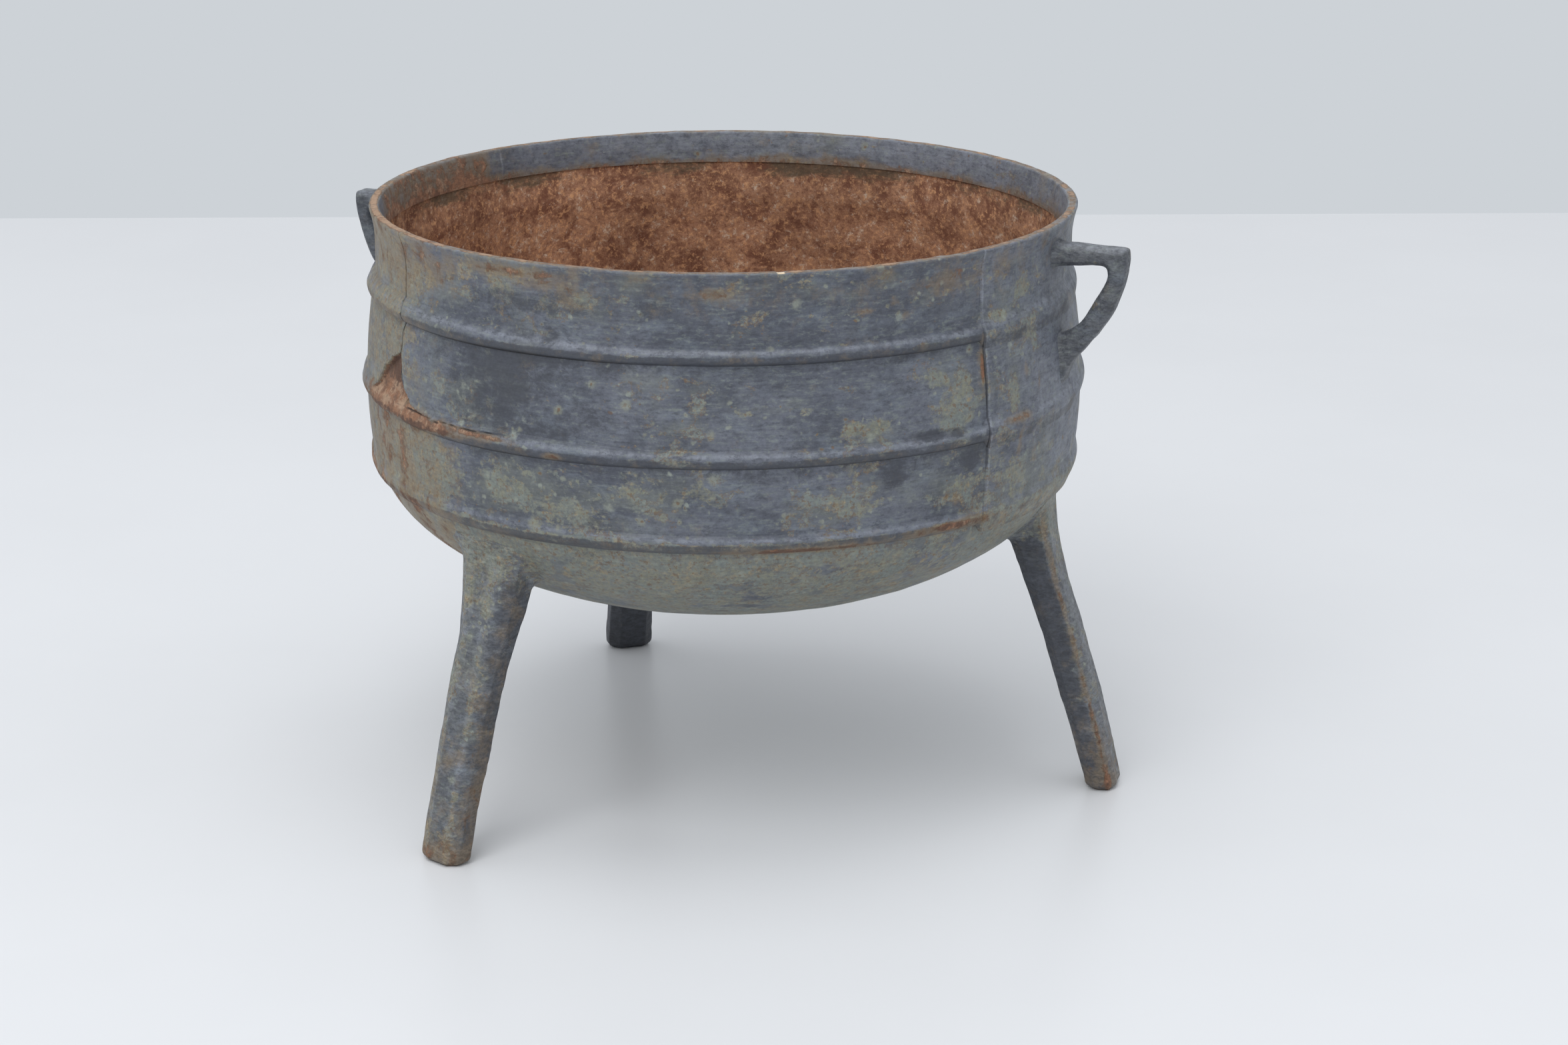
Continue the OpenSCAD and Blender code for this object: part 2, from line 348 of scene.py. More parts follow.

# %% [markdown]
# ## Stains
# Where the real pot has rust, yellow-green patina, dark scale or worn pale edges is a matter of place, so
# each vertex carries four amounts, and the material breaks them up with noise. Painting an image would be
# the other way. The marks are a short list of soft spots: azimuth, height, half width, half height,
# amount.
# The dark and pale amounts also hold painted shade and painted highlight: on and under the bands, in the
# broken place, at the seams, on the ears and on the legs.

# %% Marks on the wall, in degrees and millimetres
OLIVE_MARKS = [
    # Left of the front seam
    (-31, 316, 17, 12, 1.3), (-30, 330, 8, 12, 0.8), (-46, 313, 22, 6, 0.9), (-34, 341, 8, 7, 0.6),
    (-40, 360, 14, 5, 0.4), (-62, 330, 26, 5, 0.35), (-30, 262, 16, 9, 0.5),
    # Right of the front seam
    (-20, 373, 14, 4, 0.9), (-14, 386, 12, 7, 0.7), (-18, 318, 5, 18, 0.6), (-11, 350, 6, 12, 0.5),
    (-18, 264, 14, 9, 0.8),
    # Low on the wall
    (-82, 268, 34, 9, 0.6), (-72, 275, 20, 8, 0.5), (-50, 262, 40, 10, 0.45), (-90, 256, 30, 8, 0.5),
    (-104, 266, 30, 14, 0.65), (-104, 226, 30, 10, 0.5), (-55, 228, 40, 8, 0.45),
    # Under the rim, and at the left
    (-92, 396, 22, 8, 0.3), (-82, 388, 10, 8, 0.55), (-126, 395, 8, 12, 0.4), (-132, 350, 10, 30, 0.5),
    (-118, 262, 24, 18, 0.8), (-131, 268, 20, 24, 1.0), (-124, 235, 18, 20, 0.7),
    # At the back
    (20, 330, 30, 20, 0.5), (60, 270, 40, 18, 0.6), (95, 340, 40, 12, 0.5), (140, 300, 40, 30, 0.6),
    (170, 260, 30, 16, 0.6), (-160, 330, 40, 30, 0.5),
]
RUST_MARKS = [
    # Along the front seam, and streaks right of it
    (-24.9, 342, 2.2, 15, 1.0), (-21, 326, 2.5, 3, 0.6), (-10.7, 321, 1.5, 10, 0.8),
    (-14.2, 333, 1.3, 10, 0.9), (-16.3, 284, 1.3, 8, 0.85), (-12, 270, 5, 8, 0.5),
    # On the middle and the lower band
    (-17, 301, 16, 3, 0.85), (-108, 300, 26, 2.5, 1.0), (-116, 297, 14, 4, 0.6), (-122, 296, 14, 7, 0.8),
    (-94, 294, 8, 3, 0.7), (-31, 237, 24, 4, 1.0), (-55, 233, 44, 2.5, 0.65),
    # Small spots on the front wall
    (-46, 391, 11, 2.5, 0.5), (-41, 396, 2.5, 2.5, 0.9), (-39, 384, 2.5, 2.5, 0.7), (-48, 372, 10, 3, 0.4),
    (-54, 345, 3, 3, 0.6), (-51, 263, 3, 2.5, 0.8), (-32.5, 259, 3, 3, 0.9), (-30, 255, 5, 8, 0.5),
    # Under the rim, and runs at the left
    (-30, 405, 22, 9, 0.35), (-70, 406, 18, 4, 0.35), (-95, 408, 30, 5, 0.3), (-103, 413, 45, 4, 0.6),
    (-118, 404, 26, 9, 0.35), (-135, 268, 7, 30, 0.38), (-128, 272, 6, 22, 0.34),
    # At the back
    (120, 300, 20, 8, 0.6), (70, 240, 40, 3, 0.8), (155.5, 340, 3, 40, 0.6), (165, 400, 30, 12, 0.6),
    (30, 406, 30, 8, 0.5), (-150, 240, 30, 6, 0.7),
]
DARK_MARKS = [
    # Between the upper and the middle band
    (-101, 332, 18, 15, 0.8), (-113, 336, 10, 13, 0.6), (-96, 312, 24, 11, 0.65), (-105, 324, 34, 26, 0.65),
    (-103, 345, 60, 20, 0.7), (-80, 320, 26, 14, 0.4), (-88, 321, 60, 17, 0.42), (-63, 342, 24, 8, 0.3),
    (-40, 340, 24, 14, 0.3), (-31, 301, 8, 4, 0.9), (-36, 303, 16, 4, 0.9),
    # Above the upper band
    (-99, 393, 60, 11, 0.6), (-92, 392, 50, 12, 0.35), (-78, 395, 20, 10, 0.4), (-97, 374, 30, 11, 0.5),
    (-96, 375, 12, 8, 0.4),
    # Below the middle band
    (-28, 281, 9, 8, 1.0), (-42, 279, 12, 9, 0.8), (-60, 282, 30, 6, 0.4), (-70, 268, 60, 14, 0.3),
    (-88, 250, 20, 6, 0.5),
    # At the back
    (110, 350, 30, 20, 0.6), (40, 300, 30, 14, 0.5),
]


def spots(marks, azimuth, z):
    """The strongest of some soft spots at each place, from 0 up."""
    best = np.zeros(np.broadcast(azimuth, z).shape)
    for mark_azimuth, height, half_width, half_height, amount in marks:
        across = arc(azimuth, mark_azimuth) / (half_width * MM)
        up = (z - height * MM) / (half_height * MM)
        best = np.maximum(best, amount * np.exp(-(across**2) - up**2))
    return best


print("marks:", len(OLIVE_MARKS), "olive,", len(RUST_MARKS), "rust and", len(DARK_MARKS), "dark")

# %% How much stain the wall has at each place, and where shade is painted on it
BACK_EDGE = (-176, -150)


def streaks(azimuth, z):
    """Olive and rust that ran down the wall from the broken place."""
    area = smooth(-104, -122, azimuth) * smooth(*BACK_EDGE, azimuth) * smooth(296 * MM, 286 * MM, z)
    olive = 0.35 * area * (0.4 + lumps(on_pot(azimuth, neck_r, 0.2 * z), 13 * MM, 3, 90))
    rust = area * (0.18 + 0.22 * noise(on_pot(azimuth, neck_r, 0.12 * z), 9 * MM, 94))
    return olive, rust


def seam_lines(azimuth, z):
    """A dark line at each seam, a dark joint with the painted shadow of its step, and a pale line on the
    step's edge, a painted highlight.
    """
    on_belly = smooth(shoulder_z, shoulder_z + 8 * MM, z)
    deep = 0.8 + 0.45 * smooth(286 * MM, 300 * MM, z) - 0.75 * smooth(350 * MM, 362 * MM, z)
    deep = deep * (0.9 + 0.5 * noise(on_pot(azimuth, neck_r, z), 14 * MM, 77))
    dark, pale = 0, 0
    for seam in SEAMS:
        beyond = arc(azimuth, seam) / MM
        dark = dark + on_belly * deep * hump(beyond, -0.5, 0.6)
        pale = pale + 0.5 * on_belly * hump(beyond, 0.9, 0.8)
    return dark, pale


def wall_stains_and_shading(azimuth, z):
    """Olive, rust, dark and pale amounts on the outer wall, one set for each place, with painted shade under
    two bands and in the broken place.
    """
    left = smooth(-112, -132, azimuth) * smooth(*BACK_EDGE, azimuth)
    under_rim = smooth(376 * MM, 404 * MM, z)
    below_middle = smooth(300 * MM, 280 * MM, z)
    bottom_half = smooth(shoulder_z + 6 * MM, shoulder_z - 6 * MM, z)
    broken = flake(azimuth, z)
    broken_edge = smooth(291 * MM, 297 * MM, z) * smooth(310 * MM, 300 * MM, z)
    broken_edge = broken_edge * smooth(-100, -122, azimuth) * smooth(-150, -140, azimuth)
    olive_runs, rust_runs = streaks(azimuth, z)
    seam_dark, seam_pale = seam_lines(azimuth, z)
    olive = 0.26 + 0.40 * left + 0.15 * under_rim + 0.14 * below_middle + 0.5 * bottom_half
    olive = olive + spots(OLIVE_MARKS, azimuth, z) + olive_runs
    rust = 0.20 * under_rim + 0.32 * left + 0.1 * bottom_half + 1.1 * broken + 0.5 * broken_edge
    rust = rust + spots(RUST_MARKS, azimuth, z) + rust_runs
    # A little darker over the bottom half, and painted shade in the deep upper part of the broken place.
    dark = 0.12 * bottom_half + 0.9 * np.minimum(broken, 1) * smooth(306 * MM, 322 * MM, z)
    dark = dark + 1.5 * crack(azimuth, z) + 1.4 * hairline(azimuth, z) + seam_dark
    dark = dark + spots(DARK_MARKS, azimuth, z)
    # Painted shadow on the wall just under the upper and the middle band.
    for node in ("upper_band", "middle_band"):
        dark = dark + 0.35 * hump(z, middle(node, 2) - 8 * MM, 5 * MM)
    pale = 0.12 + 0.1 * left + 0.2 * past_seam(azimuth) + seam_pale
    pale = pale + 0.25 * np.minimum(broken, 1) * smooth(318 * MM, 306 * MM, z)
    return np.stack(np.broadcast_arrays(olive, rust, dark, pale), axis=-1)


front_stains = wall_stains_and_shading(np.arange(-140.0, 5.0), 330 * MM)
print("mean stains of the front, between the bands:", front_stains.mean(axis=0).round(2))

# %% Make a mesh object with its stain amounts and painted shading
SHARP_ANGLE = 38


def smooth_piece(name, points, faces, stains_and_shading, finishes, face_finish=None, sharp_angle=SHARP_ANGLE):
    """A shaded piece, with the amounts of stain and of painted shade and highlight on its vertices."""
    mesh = bpy.data.meshes.new(name)
    mesh.from_pydata(points.reshape(-1, 3).tolist(), [], faces)
    for finish in finishes:
        mesh.materials.append(finish)
    if face_finish is not None:
        mesh.polygons.foreach_set("material_index", face_finish)
    layer = mesh.color_attributes.new("stains_and_shading", "FLOAT_COLOR", "POINT")
    layer.data.foreach_set("color", np.clip(stains_and_shading, 0, 2).reshape(-1).astype(np.float32))
    mesh.polygons.foreach_set("use_smooth", [True] * len(mesh.polygons))
    mesh.set_sharp_from_angle(angle=math.radians(sharp_angle))
    mesh.validate()
    piece = bpy.data.objects.new(name, mesh)
    bpy.context.scene.collection.objects.link(piece)
    print(f"{name}: {len(mesh.vertices)} vertices, {len(mesh.polygons)} faces")
    return piece


def grid_faces(rows, columns, wrap_rows=False, first=0):
    """Faces of a grid whose columns go all round."""
    faces = []
    for i in range(rows if wrap_rows else rows - 1):
        low, high = first + i * columns, first + (i + 1) % rows * columns
        for j in range(columns):
            k = (j + 1) % columns
            faces.append((low + j, low + k, high + k, high + j))
    return faces


def fan(first, count, pole):
    """Triangles from a ring of points to one point."""
    return [(first + j, first + (j + 1) % count, pole) for j in range(count)]


def flipped(faces):
    """The same faces, looking the other way."""
    return [face[::-1] for face in faces]


def ring_piece(name, points, stains_and_shading, finishes, face_finish=None):
    """A piece from rows of points all round, closed from its last row to its first."""
    rows, columns = points.shape[:2]
    faces = grid_faces(rows, columns, wrap_rows=True)
    return smooth_piece(name, points, faces, stains_and_shading, finishes, face_finish)


# %% [markdown]
# ## Finishes
# Old iron that stood outdoors is not one grey. Slate blue scale is the ground; over it lie smudges, pale
# spots that run together into olive patches with thin brown edges, rust, and fine level scratches from
# scrubbing. Each layer is noise or cells in the space of the object, so that it runs on from piece to
# piece, and the stain amounts say where it is thick. Images could do the same, but they would need
# unwrapped pieces and would show seams.
# The dark and pale amounts also hold painted shade and painted highlight, so the smudge, near-black and
# lavender layers paint those too.


# %% A short way to write nodes
class Finish:
    """One material, with a word for each kind of node that these finishes use."""

    def __init__(self, name):
        self.material = bpy.data.materials.new(name)
        self.material.use_nodes = True
        self.tree = self.material.node_tree
        self.shader = self.tree.nodes["Principled BSDF"]
        self.place = self.node("ShaderNodeTexCoord", {}).outputs["Object"]

    def put(self, socket, value):
        """Links a socket, or sets the number or colour on it."""
        if isinstance(value, bpy.types.NodeSocket):
            self.tree.links.new(value, socket)
        else:
            socket.default_value = value

    def node(self, kind, inputs, **settings):
        """A new node, with its settings and with the inputs that are named or numbered."""
        made = self.tree.nodes.new(kind)
        for key, value in settings.items():
            setattr(made, key, value)
        for key, value in inputs.items():
            self.put(made.inputs[key], value)
        return made

    def maths(self, kind, *values):
        return self.node("ShaderNodeMath", dict(enumerate(values)), operation=kind).outputs[0]

    def both(self, one, other):
        return self.maths("MULTIPLY", one, other)

    def added(self, value, times, other):
        """The value times a number, plus the other."""
        return self.maths("MULTIPLY_ADD", value, times, other)

    def vectors(self, kind, *values):
        return self.node("ShaderNodeVectorMath", dict(enumerate(values)), operation=kind).outputs[0]

    def split(self, colour_socket):
        """The three numbers in a colour."""
        return list(self.node("ShaderNodeSeparateColor", {0: colour_socket}).outputs)

    def stain_and_shading_amounts(self):
        """The olive, rust, dark and pale amounts painted on the mesh, which also hold painted shade and
        highlight.
        """
        read = self.node("ShaderNodeAttribute", {}, attribute_name="stains_and_shading")
        return [*self.split(read.outputs["Color"]), read.outputs["Alpha"]]

    def noise(self, place, scale, detail, rough, warp=0):
        inputs = {"Vector": place, "Scale": scale, "Detail": detail, "Roughness": rough, "Distortion": warp}
        return self.node("ShaderNodeTexNoise", inputs)

    def clouds(self, scale, detail=4, rough=0.55, stretch=None, warp=0):
        """Soft clouds from 0 to 1, finer along the axes that stretch makes large."""
        place = self.vectors("MULTIPLY", self.place, stretch) if stretch else self.place
        return self.noise(place, scale, detail, rough, warp).outputs["Fac"]

    def shaken(self, scale, amount):
        """The place, moved a little this way and that, so that round cells turn ragged."""
        shake = self.noise(self.place, scale, detail=3, rough=0.5).outputs["Color"]
        return self.vectors("MULTIPLY_ADD", shake, (amount, amount, amount), self.place)

    def cells(self, scale, place):
        """The distance to the nearest of many scattered points, and three random numbers for each point."""
        made = self.node("ShaderNodeTexVoronoi", {"Vector": place, "Scale": scale}, feature="F1")
        return [made.outputs["Distance"], *self.split(made.outputs["Color"])]

    def slope(self, value, low, high, start=0.0, end=1.0):
        """start at low, end at high, with an even slope between."""
        inputs = dict(enumerate((value, low, high, start, end)))
        return self.node("ShaderNodeMapRange", inputs, interpolation_type="SMOOTHSTEP").outputs[0]

    def mix(self, amount, below, above):
        inputs = {"Factor": amount, 6: below, 7: above}
        return self.node("ShaderNodeMix", inputs, data_type="RGBA").outputs[2]

    def over(self, base, above, value, low, high, most=1.0):
        """The base, with a colour laid over it where the value climbs from low to high."""
        return self.mix(self.slope(value, low, high, 0.0, most), base, above)

    def shade(self, base, factor):
        """The colour, lighter or darker by a factor."""
        return self.node("ShaderNodeVectorMath", {0: base, "Scale": factor}, operation="SCALE").outputs[0]

    def bumps(self, height, distance, strength, under=None):
        """Small relief that bends the light, over the relief under it."""
        inputs = {"Strength": strength, "Distance": distance, "Height": height}
        if under:
            inputs["Normal"] = under
        return self.node("ShaderNodeBump", inputs).outputs[0]

    def done(self, base, rough, shine, relief=None):
        """Fills in the shader, and gives the material."""
        self.put(self.shader.inputs["Base Color"], base)
        self.put(self.shader.inputs["Roughness"], rough)
        self.put(self.shader.inputs["Specular IOR Level"], shine)
        if relief:
            self.put(self.shader.inputs["Normal"], relief)
        return self.material


# %% Colours as a screen shows them
def linear(part):
    """One part of a colour as a screen shows it, 0 to 255, as the number that a shader takes."""
    part = part / 255
    return part / 12.92 if part <= 0.04045 else ((part + 0.055) / 1.055) ** 2.4


def colour(red, green, blue):
    return (linear(red), linear(green), linear(blue), 1.0)


print("mid grey is", round(linear(128), 3), "to a shader")

# %% The slate ground
GREEN_GREY = colour(122, 130, 124)
BLUE_GREY = colour(106, 115, 126)
LAVENDER = colour(142, 147, 158)
# A grey for smudges, and for painted shade under the bands, on the ears and on the legs.
SMUDGE_AND_SHADE = colour(62, 65, 73)
# Near black for cracks and seam lines, and for painted shade along the bands' lower feet and on the rear leg.
CRACK_AND_SHADE_BLACK = colour(30, 30, 33)


def slate_ground(f, ground, deep, pale):
    """Slate scale with broad clouds and a blue-grey bloom, lavender where pale: worn bright, and painted
    highlight on the bands, ears and leg faces.
    """
    base = f.mix(f.slope(f.clouds(9, 4, 0.6), 0.42, 0.58), deep, ground)
    bloom = f.slope(f.clouds(36, 6, 0.6, stretch=(1, 1, 1.8)), 0.48, 0.70, 0.0, 0.5)
    base = f.mix(bloom, base, BLUE_GREY)
    smudge = f.clouds(26, 7, 0.68, stretch=(1, 1, 1.7), warp=0.5)
    base = f.over(base, SMUDGE_AND_SHADE, smudge, 0.54, 0.72, 0.7)
    dashes = f.clouds(60, 8, 0.75, stretch=(1, 1, 7))
    base = f.over(base, GREEN_GREY, dashes, 0.53, 0.66, 0.4)
    base = f.over(base, SMUDGE_AND_SHADE, dashes, 0.47, 0.34, 0.5)
    # Lavender where the pale amount is high: wear, and painted highlight where that amount holds it.
    worn_and_lit = f.both(pale, f.slope(f.clouds(130, 6, 0.7), 0.36, 0.60, 0.35, 1.0))
    base = f.mix(worn_and_lit, base, LAVENDER)
    mottle = f.clouds(150, 8, 0.78, stretch=(1, 1, 2.2))
    base = f.over(base, GREEN_GREY, mottle, 0.52, 0.64, 0.5)
    return f.over(base, SMUDGE_AND_SHADE, mottle, 0.48, 0.38, 0.6)


# %% The olive patina
OLIVE = colour(129, 129, 110)
OLIVE_GREY = colour(112, 116, 108)
OCHRE = colour(152, 134, 98)
PALE_GREEN = colour(148, 155, 144)
BROWN = colour(104, 80, 58)
SPOT_SCALES = (190, 88)


def olive_patina(f, base, olive, rust):
    """Pale spots, some with brown middles, that gather and run together into crusty olive patches."""
    gather = f.added(olive, 0.6, f.clouds(15, 4, 0.55))
    haze = f.added(gather, 0.5, f.clouds(22, 6, 0.65, stretch=(1, 1, 1.6)))
    base = f.over(base, OLIVE_GREY, haze, 0.84, 1.08, 0.45)
    fine = f.clouds(330, 5, 0.75)
    ragged = f.shaken(150, 0.0045)
    likely = f.slope(gather, 0.50, 1.0)
    for scale in SPOT_SCALES:
        distance, size, chance, kind = f.cells(scale, ragged)
        there = f.maths("LESS_THAN", chance, likely)
        reach = f.added(fine, -0.5, f.added(size, 0.45, 0.28))
        spot = f.slope(distance, reach, f.maths("SUBTRACT", reach, 0.30))
        base = f.mix(f.both(f.both(there, spot), 0.6), base, f.mix(kind, PALE_GREEN, OLIVE))
        core = f.both(f.both(there, f.slope(distance, 0.15, 0.08)), f.slope(kind, 0.40, 0.48))
        base = f.mix(f.both(core, 0.75), base, BROWN)
    patchy = f.clouds(48, 9, 0.70, stretch=(1, 1, 1.5), warp=0.3)
    edge = f.maths("SUBTRACT", f.added(gather, 0.5, patchy), 0.92)
    patch = f.slope(f.added(fine, 0.16, edge), 0.08, 0.15)
    crust = f.both(patch, f.slope(fine, 0.38, 0.62, 0.22, 0.85))
    tint = f.mix(f.slope(f.clouds(60, 4, 0.6), 0.40, 0.60), OLIVE, GREEN_GREY)
    warm = f.added(rust, 0.3, f.clouds(120, 5, 0.7))
    tint = f.mix(f.slope(warm, 0.54, 0.68, 0.0, 0.8), tint, OCHRE)
    base = f.mix(crust, base, tint)
    line = f.slope(f.maths("ABSOLUTE", f.maths("SUBTRACT", edge, 0.03)), 0.014, 0.003)
    line = f.both(line, f.slope(f.clouds(30, 2), 0.46, 0.54))
    freckles = f.both(patch, f.slope(f.clouds(260, 4, 0.7), 0.55, 0.62))
    return f.mix(f.both(f.maths("MAXIMUM", line, freckles), 0.65), base, BROWN)


def smudged_and_shaded(f, base, dark):
    """Soft black smudges over the patina, and painted shade where the dark amount holds it."""
    broken_up = f.clouds(55, 9, 0.78, stretch=(1, 1, 1.4), warp=0.4)
    amount = f.added(broken_up, 1.5, f.both(dark, 0.7))
    return f.over(base, SMUDGE_AND_SHADE, amount, 0.92, 1.22, 0.85)


# %% Rust over the patina
WASH = colour(125, 109, 87)
RED_RUST = colour(112, 80, 64)
ORANGE = colour(146, 105, 80)
TAN = colour(170, 141, 117)
DARK_BROWN_RUST_AND_SHADE = colour(84, 60, 52)
FRESH_CHIP = colour(226, 206, 176)


def rust_over(f, base, rust, dark, pale):
    """Rust with a brown edge, tan where pale, and dark brown where dark, with painted shade in the deep top
    of the broken place: the colour, and where the rust is.
    """
    veil = f.added(rust, 0.5, f.clouds(55, 9, 0.75))
    base = f.over(base, WASH, veil, 0.57, 0.83, 0.6)
    edge = f.maths("SUBTRACT", f.added(rust, 0.42, f.clouds(80, 8, 0.72, warp=0.4)), 0.78)
    base = f.over(base, BROWN, edge, -0.05, 0.01, 0.55)
    mask = f.slope(edge, -0.01, 0.11)
    tint = f.mix(f.slope(f.clouds(140, 6, 0.7), 0.40, 0.60), RED_RUST, ORANGE)
    chalky = f.added(pale, 0.14, f.clouds(110, 8, 0.78))
    tint = f.mix(f.slope(chalky, 0.52, 0.66), tint, TAN)
    # Dark brown over the rust where the dark amount is high: darker rust, and painted shade in the deep
    # broken place.
    dark_rust_and_shade = f.added(dark, 0.3, f.clouds(150, 6, 0.7))
    tint = f.mix(f.slope(dark_rust_and_shade, 0.58, 0.72, 0.0, 0.85), tint, DARK_BROWN_RUST_AND_SHADE)
    return f.mix(f.both(mask, 0.8), base, tint), mask


# %% The weathered outside, in two shades
def weathered_iron(name, ground, deep, scratch, brushed, gritty):
    """Slate, patina and rust, with scratches, grit and a satin gloss, and the painted shade and highlight
    that the stain amounts hold.
    """
    f = Finish(name)
    olive, rust, dark, pale = f.stain_and_shading_amounts()
    base = slate_ground(f, ground, deep, pale)
    base = olive_patina(f, base, olive, rust)
    base = smudged_and_shaded(f, base, dark)
    base, rusted = rust_over(f, base, rust, dark, pale)
    # Near black where the dark amount is highest: cracks and seams, and painted shade along the bands' lower
    # feet and on the rear leg.
    base = f.over(base, CRACK_AND_SHADE_BLACK, dark, 0.9, 1.4, 0.97)
    base = f.over(base, FRESH_CHIP, pale, 1.6, 1.9, 0.9)
    scratches = f.clouds(30, 7, 0.8, stretch=scratch, warp=0.15)
    grain = f.clouds(420, 4, 0.7)
    grit = f.clouds(210, 4, 0.7, stretch=(1, 1, 2.2), warp=0.6)
    base = f.shade(base, f.slope(scratches, 0.34, 0.66, 1 - brushed, 1 + 0.8 * brushed))
    base = f.shade(base, f.slope(grain, 0.3, 0.7, 0.90, 1.10))
    base = f.shade(base, f.slope(grit, 0.35, 0.65, 1 - gritty, 1 + gritty))
    rough = f.added(rusted, 0.3, f.slope(f.clouds(60, 5), 0.3, 0.7, 0.46, 0.64))
    relief = f.bumps(scratches, 0.3 * MM, 0.35)
    relief = f.bumps(grain, 0.5 * MM, 0.4, relief)
    relief = f.bumps(grit, 5 * gritty * MM, 0.6, relief)
    relief = f.bumps(f.both(rusted, f.clouds(200, 6, 0.7)), 1.2 * MM, 0.6, relief)
    return f.done(base, rough, 0.45, relief)


LEVEL, BARK = (1, 1, 16), (1, 1, 2.5)
SLATE, DEEP_SLATE = colour(90, 94, 105), colour(66, 70, 81)
DARK_IRON, DEEP_IRON = colour(93, 95, 98), colour(81, 84, 89)
outer_finish = weathered_iron("weathered_slate_iron", SLATE, DEEP_SLATE, LEVEL, brushed=0.11, gritty=0.05)
bar_finish = weathered_iron("weathered_dark_iron", DARK_IRON, DEEP_IRON, BARK, brushed=0.08, gritty=0.24)
print("nodes in the outer finish:", len(outer_finish.node_tree.nodes))

# %% The rusty inside
DARK_RUST = colour(124, 84, 67)
MID_RUST = colour(178, 135, 107)
ORANGE_RUST = colour(216, 167, 125)
CHALK = colour(226, 210, 190)
SOOTY_OLIVE = colour(92, 84, 70)


def rusty_iron(name):
    """Thick rust: dark scale, orange blooms and chalky flecks at several sizes, sooty where dark."""
    f = Finish(name)
    dark, pale = f.stain_and_shading_amounts()[2:]
    blotch = f.clouds(42, 9, 0.75, warp=0.4)
    grain = f.clouds(250, 7, 0.8, warp=0.2)
    fleck = f.clouds(170, 8, 0.84, warp=0.4)
    base = f.mix(f.slope(f.added(pale, 0.08, blotch), 0.37, 0.58), DARK_RUST, MID_RUST)
    base = f.over(base, ORANGE_RUST, grain, 0.50, 0.62, 0.9)
    base = f.over(base, DARK_RUST, grain, 0.47, 0.37, 0.8)
    chalky = f.added(pale, 0.07, f.added(blotch, 0.4, fleck))
    base = f.over(base, CHALK, chalky, 0.75, 0.86, 0.8)
    sooty = f.added(dark, 0.45, f.clouds(90, 8, 0.75, stretch=(1, 1, 2.5)))
    base = f.over(base, SOOTY_OLIVE, sooty, 0.62, 0.90, 0.8)
    base = f.shade(base, f.slope(f.clouds(11, 4, 0.6), 0.3, 0.7, 0.84, 1.16))
    relief = f.bumps(grain, 1.6 * MM, 0.8, f.bumps(blotch, 3.0 * MM, 0.6))
    return f.done(base, 0.88, 0.25, relief)


inner_finish = rusty_iron("rusty_iron")
print("finishes:", [m.name for m in bpy.data.materials])

# %% [markdown]
# ## The belly
# This is the upright wall between the round bottom and the ledge inside the mouth. A Screw modifier could
# turn it, but its columns are not even and its surface dips, so its grid is worked out row by row: up the
# outside, across the top, and down the rusty inside, closed to a ring. Rows lie close together round
# the broken place.

# %% The belly
ROW_STEP = 3 * MM
FINE_ROW_STEP = 1 * MM
INNER_ROW_STEP = 4 * MM
FINE_ROWS = (294 * MM, 342 * MM)
LEDGE_SOOT = 18 * MM


def heights(low, high, step, fine_from=0.0, fine_to=0.0, fine_step=1.0):
    """Heights from low to high, as a column, closer together in one stretch."""
    rows = [low]
    while rows[-1] < high - 0.6 * step:
        rows.append(rows[-1] + (fine_step if fine_from <= rows[-1] < fine_to else step))
    rows[-1] = high
    return np.array(rows)[:, None]


def real_wall(azimuth, z):
    """Radius of the outer wall with its seams and its cast skin, but nothing broken."""
    return wall_radius(z) + seam_step(azimuth, z) + skin(azimuth, z)


def rusty_skin(azimuth, z, radius):
    """The eaten surface of the inside."""
    points = on_pot(azimuth, radius, z)
    return 0.55 * MM * lumps(points, 16 * MM, 3, 20) + 0.2 * MM * noise(points, 5 * MM, 29)


outer_z = heights(shoulder_z, ledge_z, ROW_STEP, *FINE_ROWS, FINE_ROW_STEP)
inner_z = heights(shoulder_z, ledge_z, INNER_ROW_STEP)[::-1]
outer_az, inner_az = bent(COLUMNS, outer_z), bent(COLUMNS, inner_z)
outer_r = real_wall(outer_az, outer_z) - lost_iron(outer_az, outer_z)
inner_r = wall_radius(inner_z) - WALL
inner_r = inner_r + rusty_skin(inner_az, inner_z, inner_r)
inner_stains = np.zeros((*inner_az.shape, 4))
sooty = 0.55 + 0.7 * noise(on_pot(inner_az, neck_r, inner_z), 40 * MM, 31)
inner_stains[..., 2] = sooty * smooth(ledge_z - LEDGE_SOOT, ledge_z - 3 * MM, inner_z)
belly = ring_piece(
    "belly_wall",
    np.concatenate([on_pot(outer_az, outer_r, outer_z), on_pot(inner_az, inner_r, inner_z)]),
    np.concatenate([wall_stains_and_shading(outer_az, outer_z), inner_stains]),
    [outer_finish, inner_finish],
    np.repeat([0] * len(outer_z) + [1] * len(inner_z), len(COLUMNS)),
)

# %% [markdown]
# ## The round bottom
# The bottom is a flattened half ball, six millimetres thick. It could be a scaled sphere with a Solidify
# modifier; two turned sheets joined at the shoulder give the same with the rust skin on the inside only.

# %% The round bottom
BOTTOM_ROWS, BOTTOM_INNER_ROWS = 64, 44
BOTTOM_COLUMNS = np.arange(-180, 180, 1.0)
UNDERSIDE_STAINS, INSIDE_STAINS = [0.6, 0.2, 0.2, 0.2], [0, 0, 0, 0]


def bottom_skin(azimuth, z, radius):
    points = on_pot(azimuth, radius, z)
    return 0.35 * MM * (lumps(points, 40 * MM, 3, 3) - 1.2) + 0.12 * MM * noise(points, 7 * MM, 8)


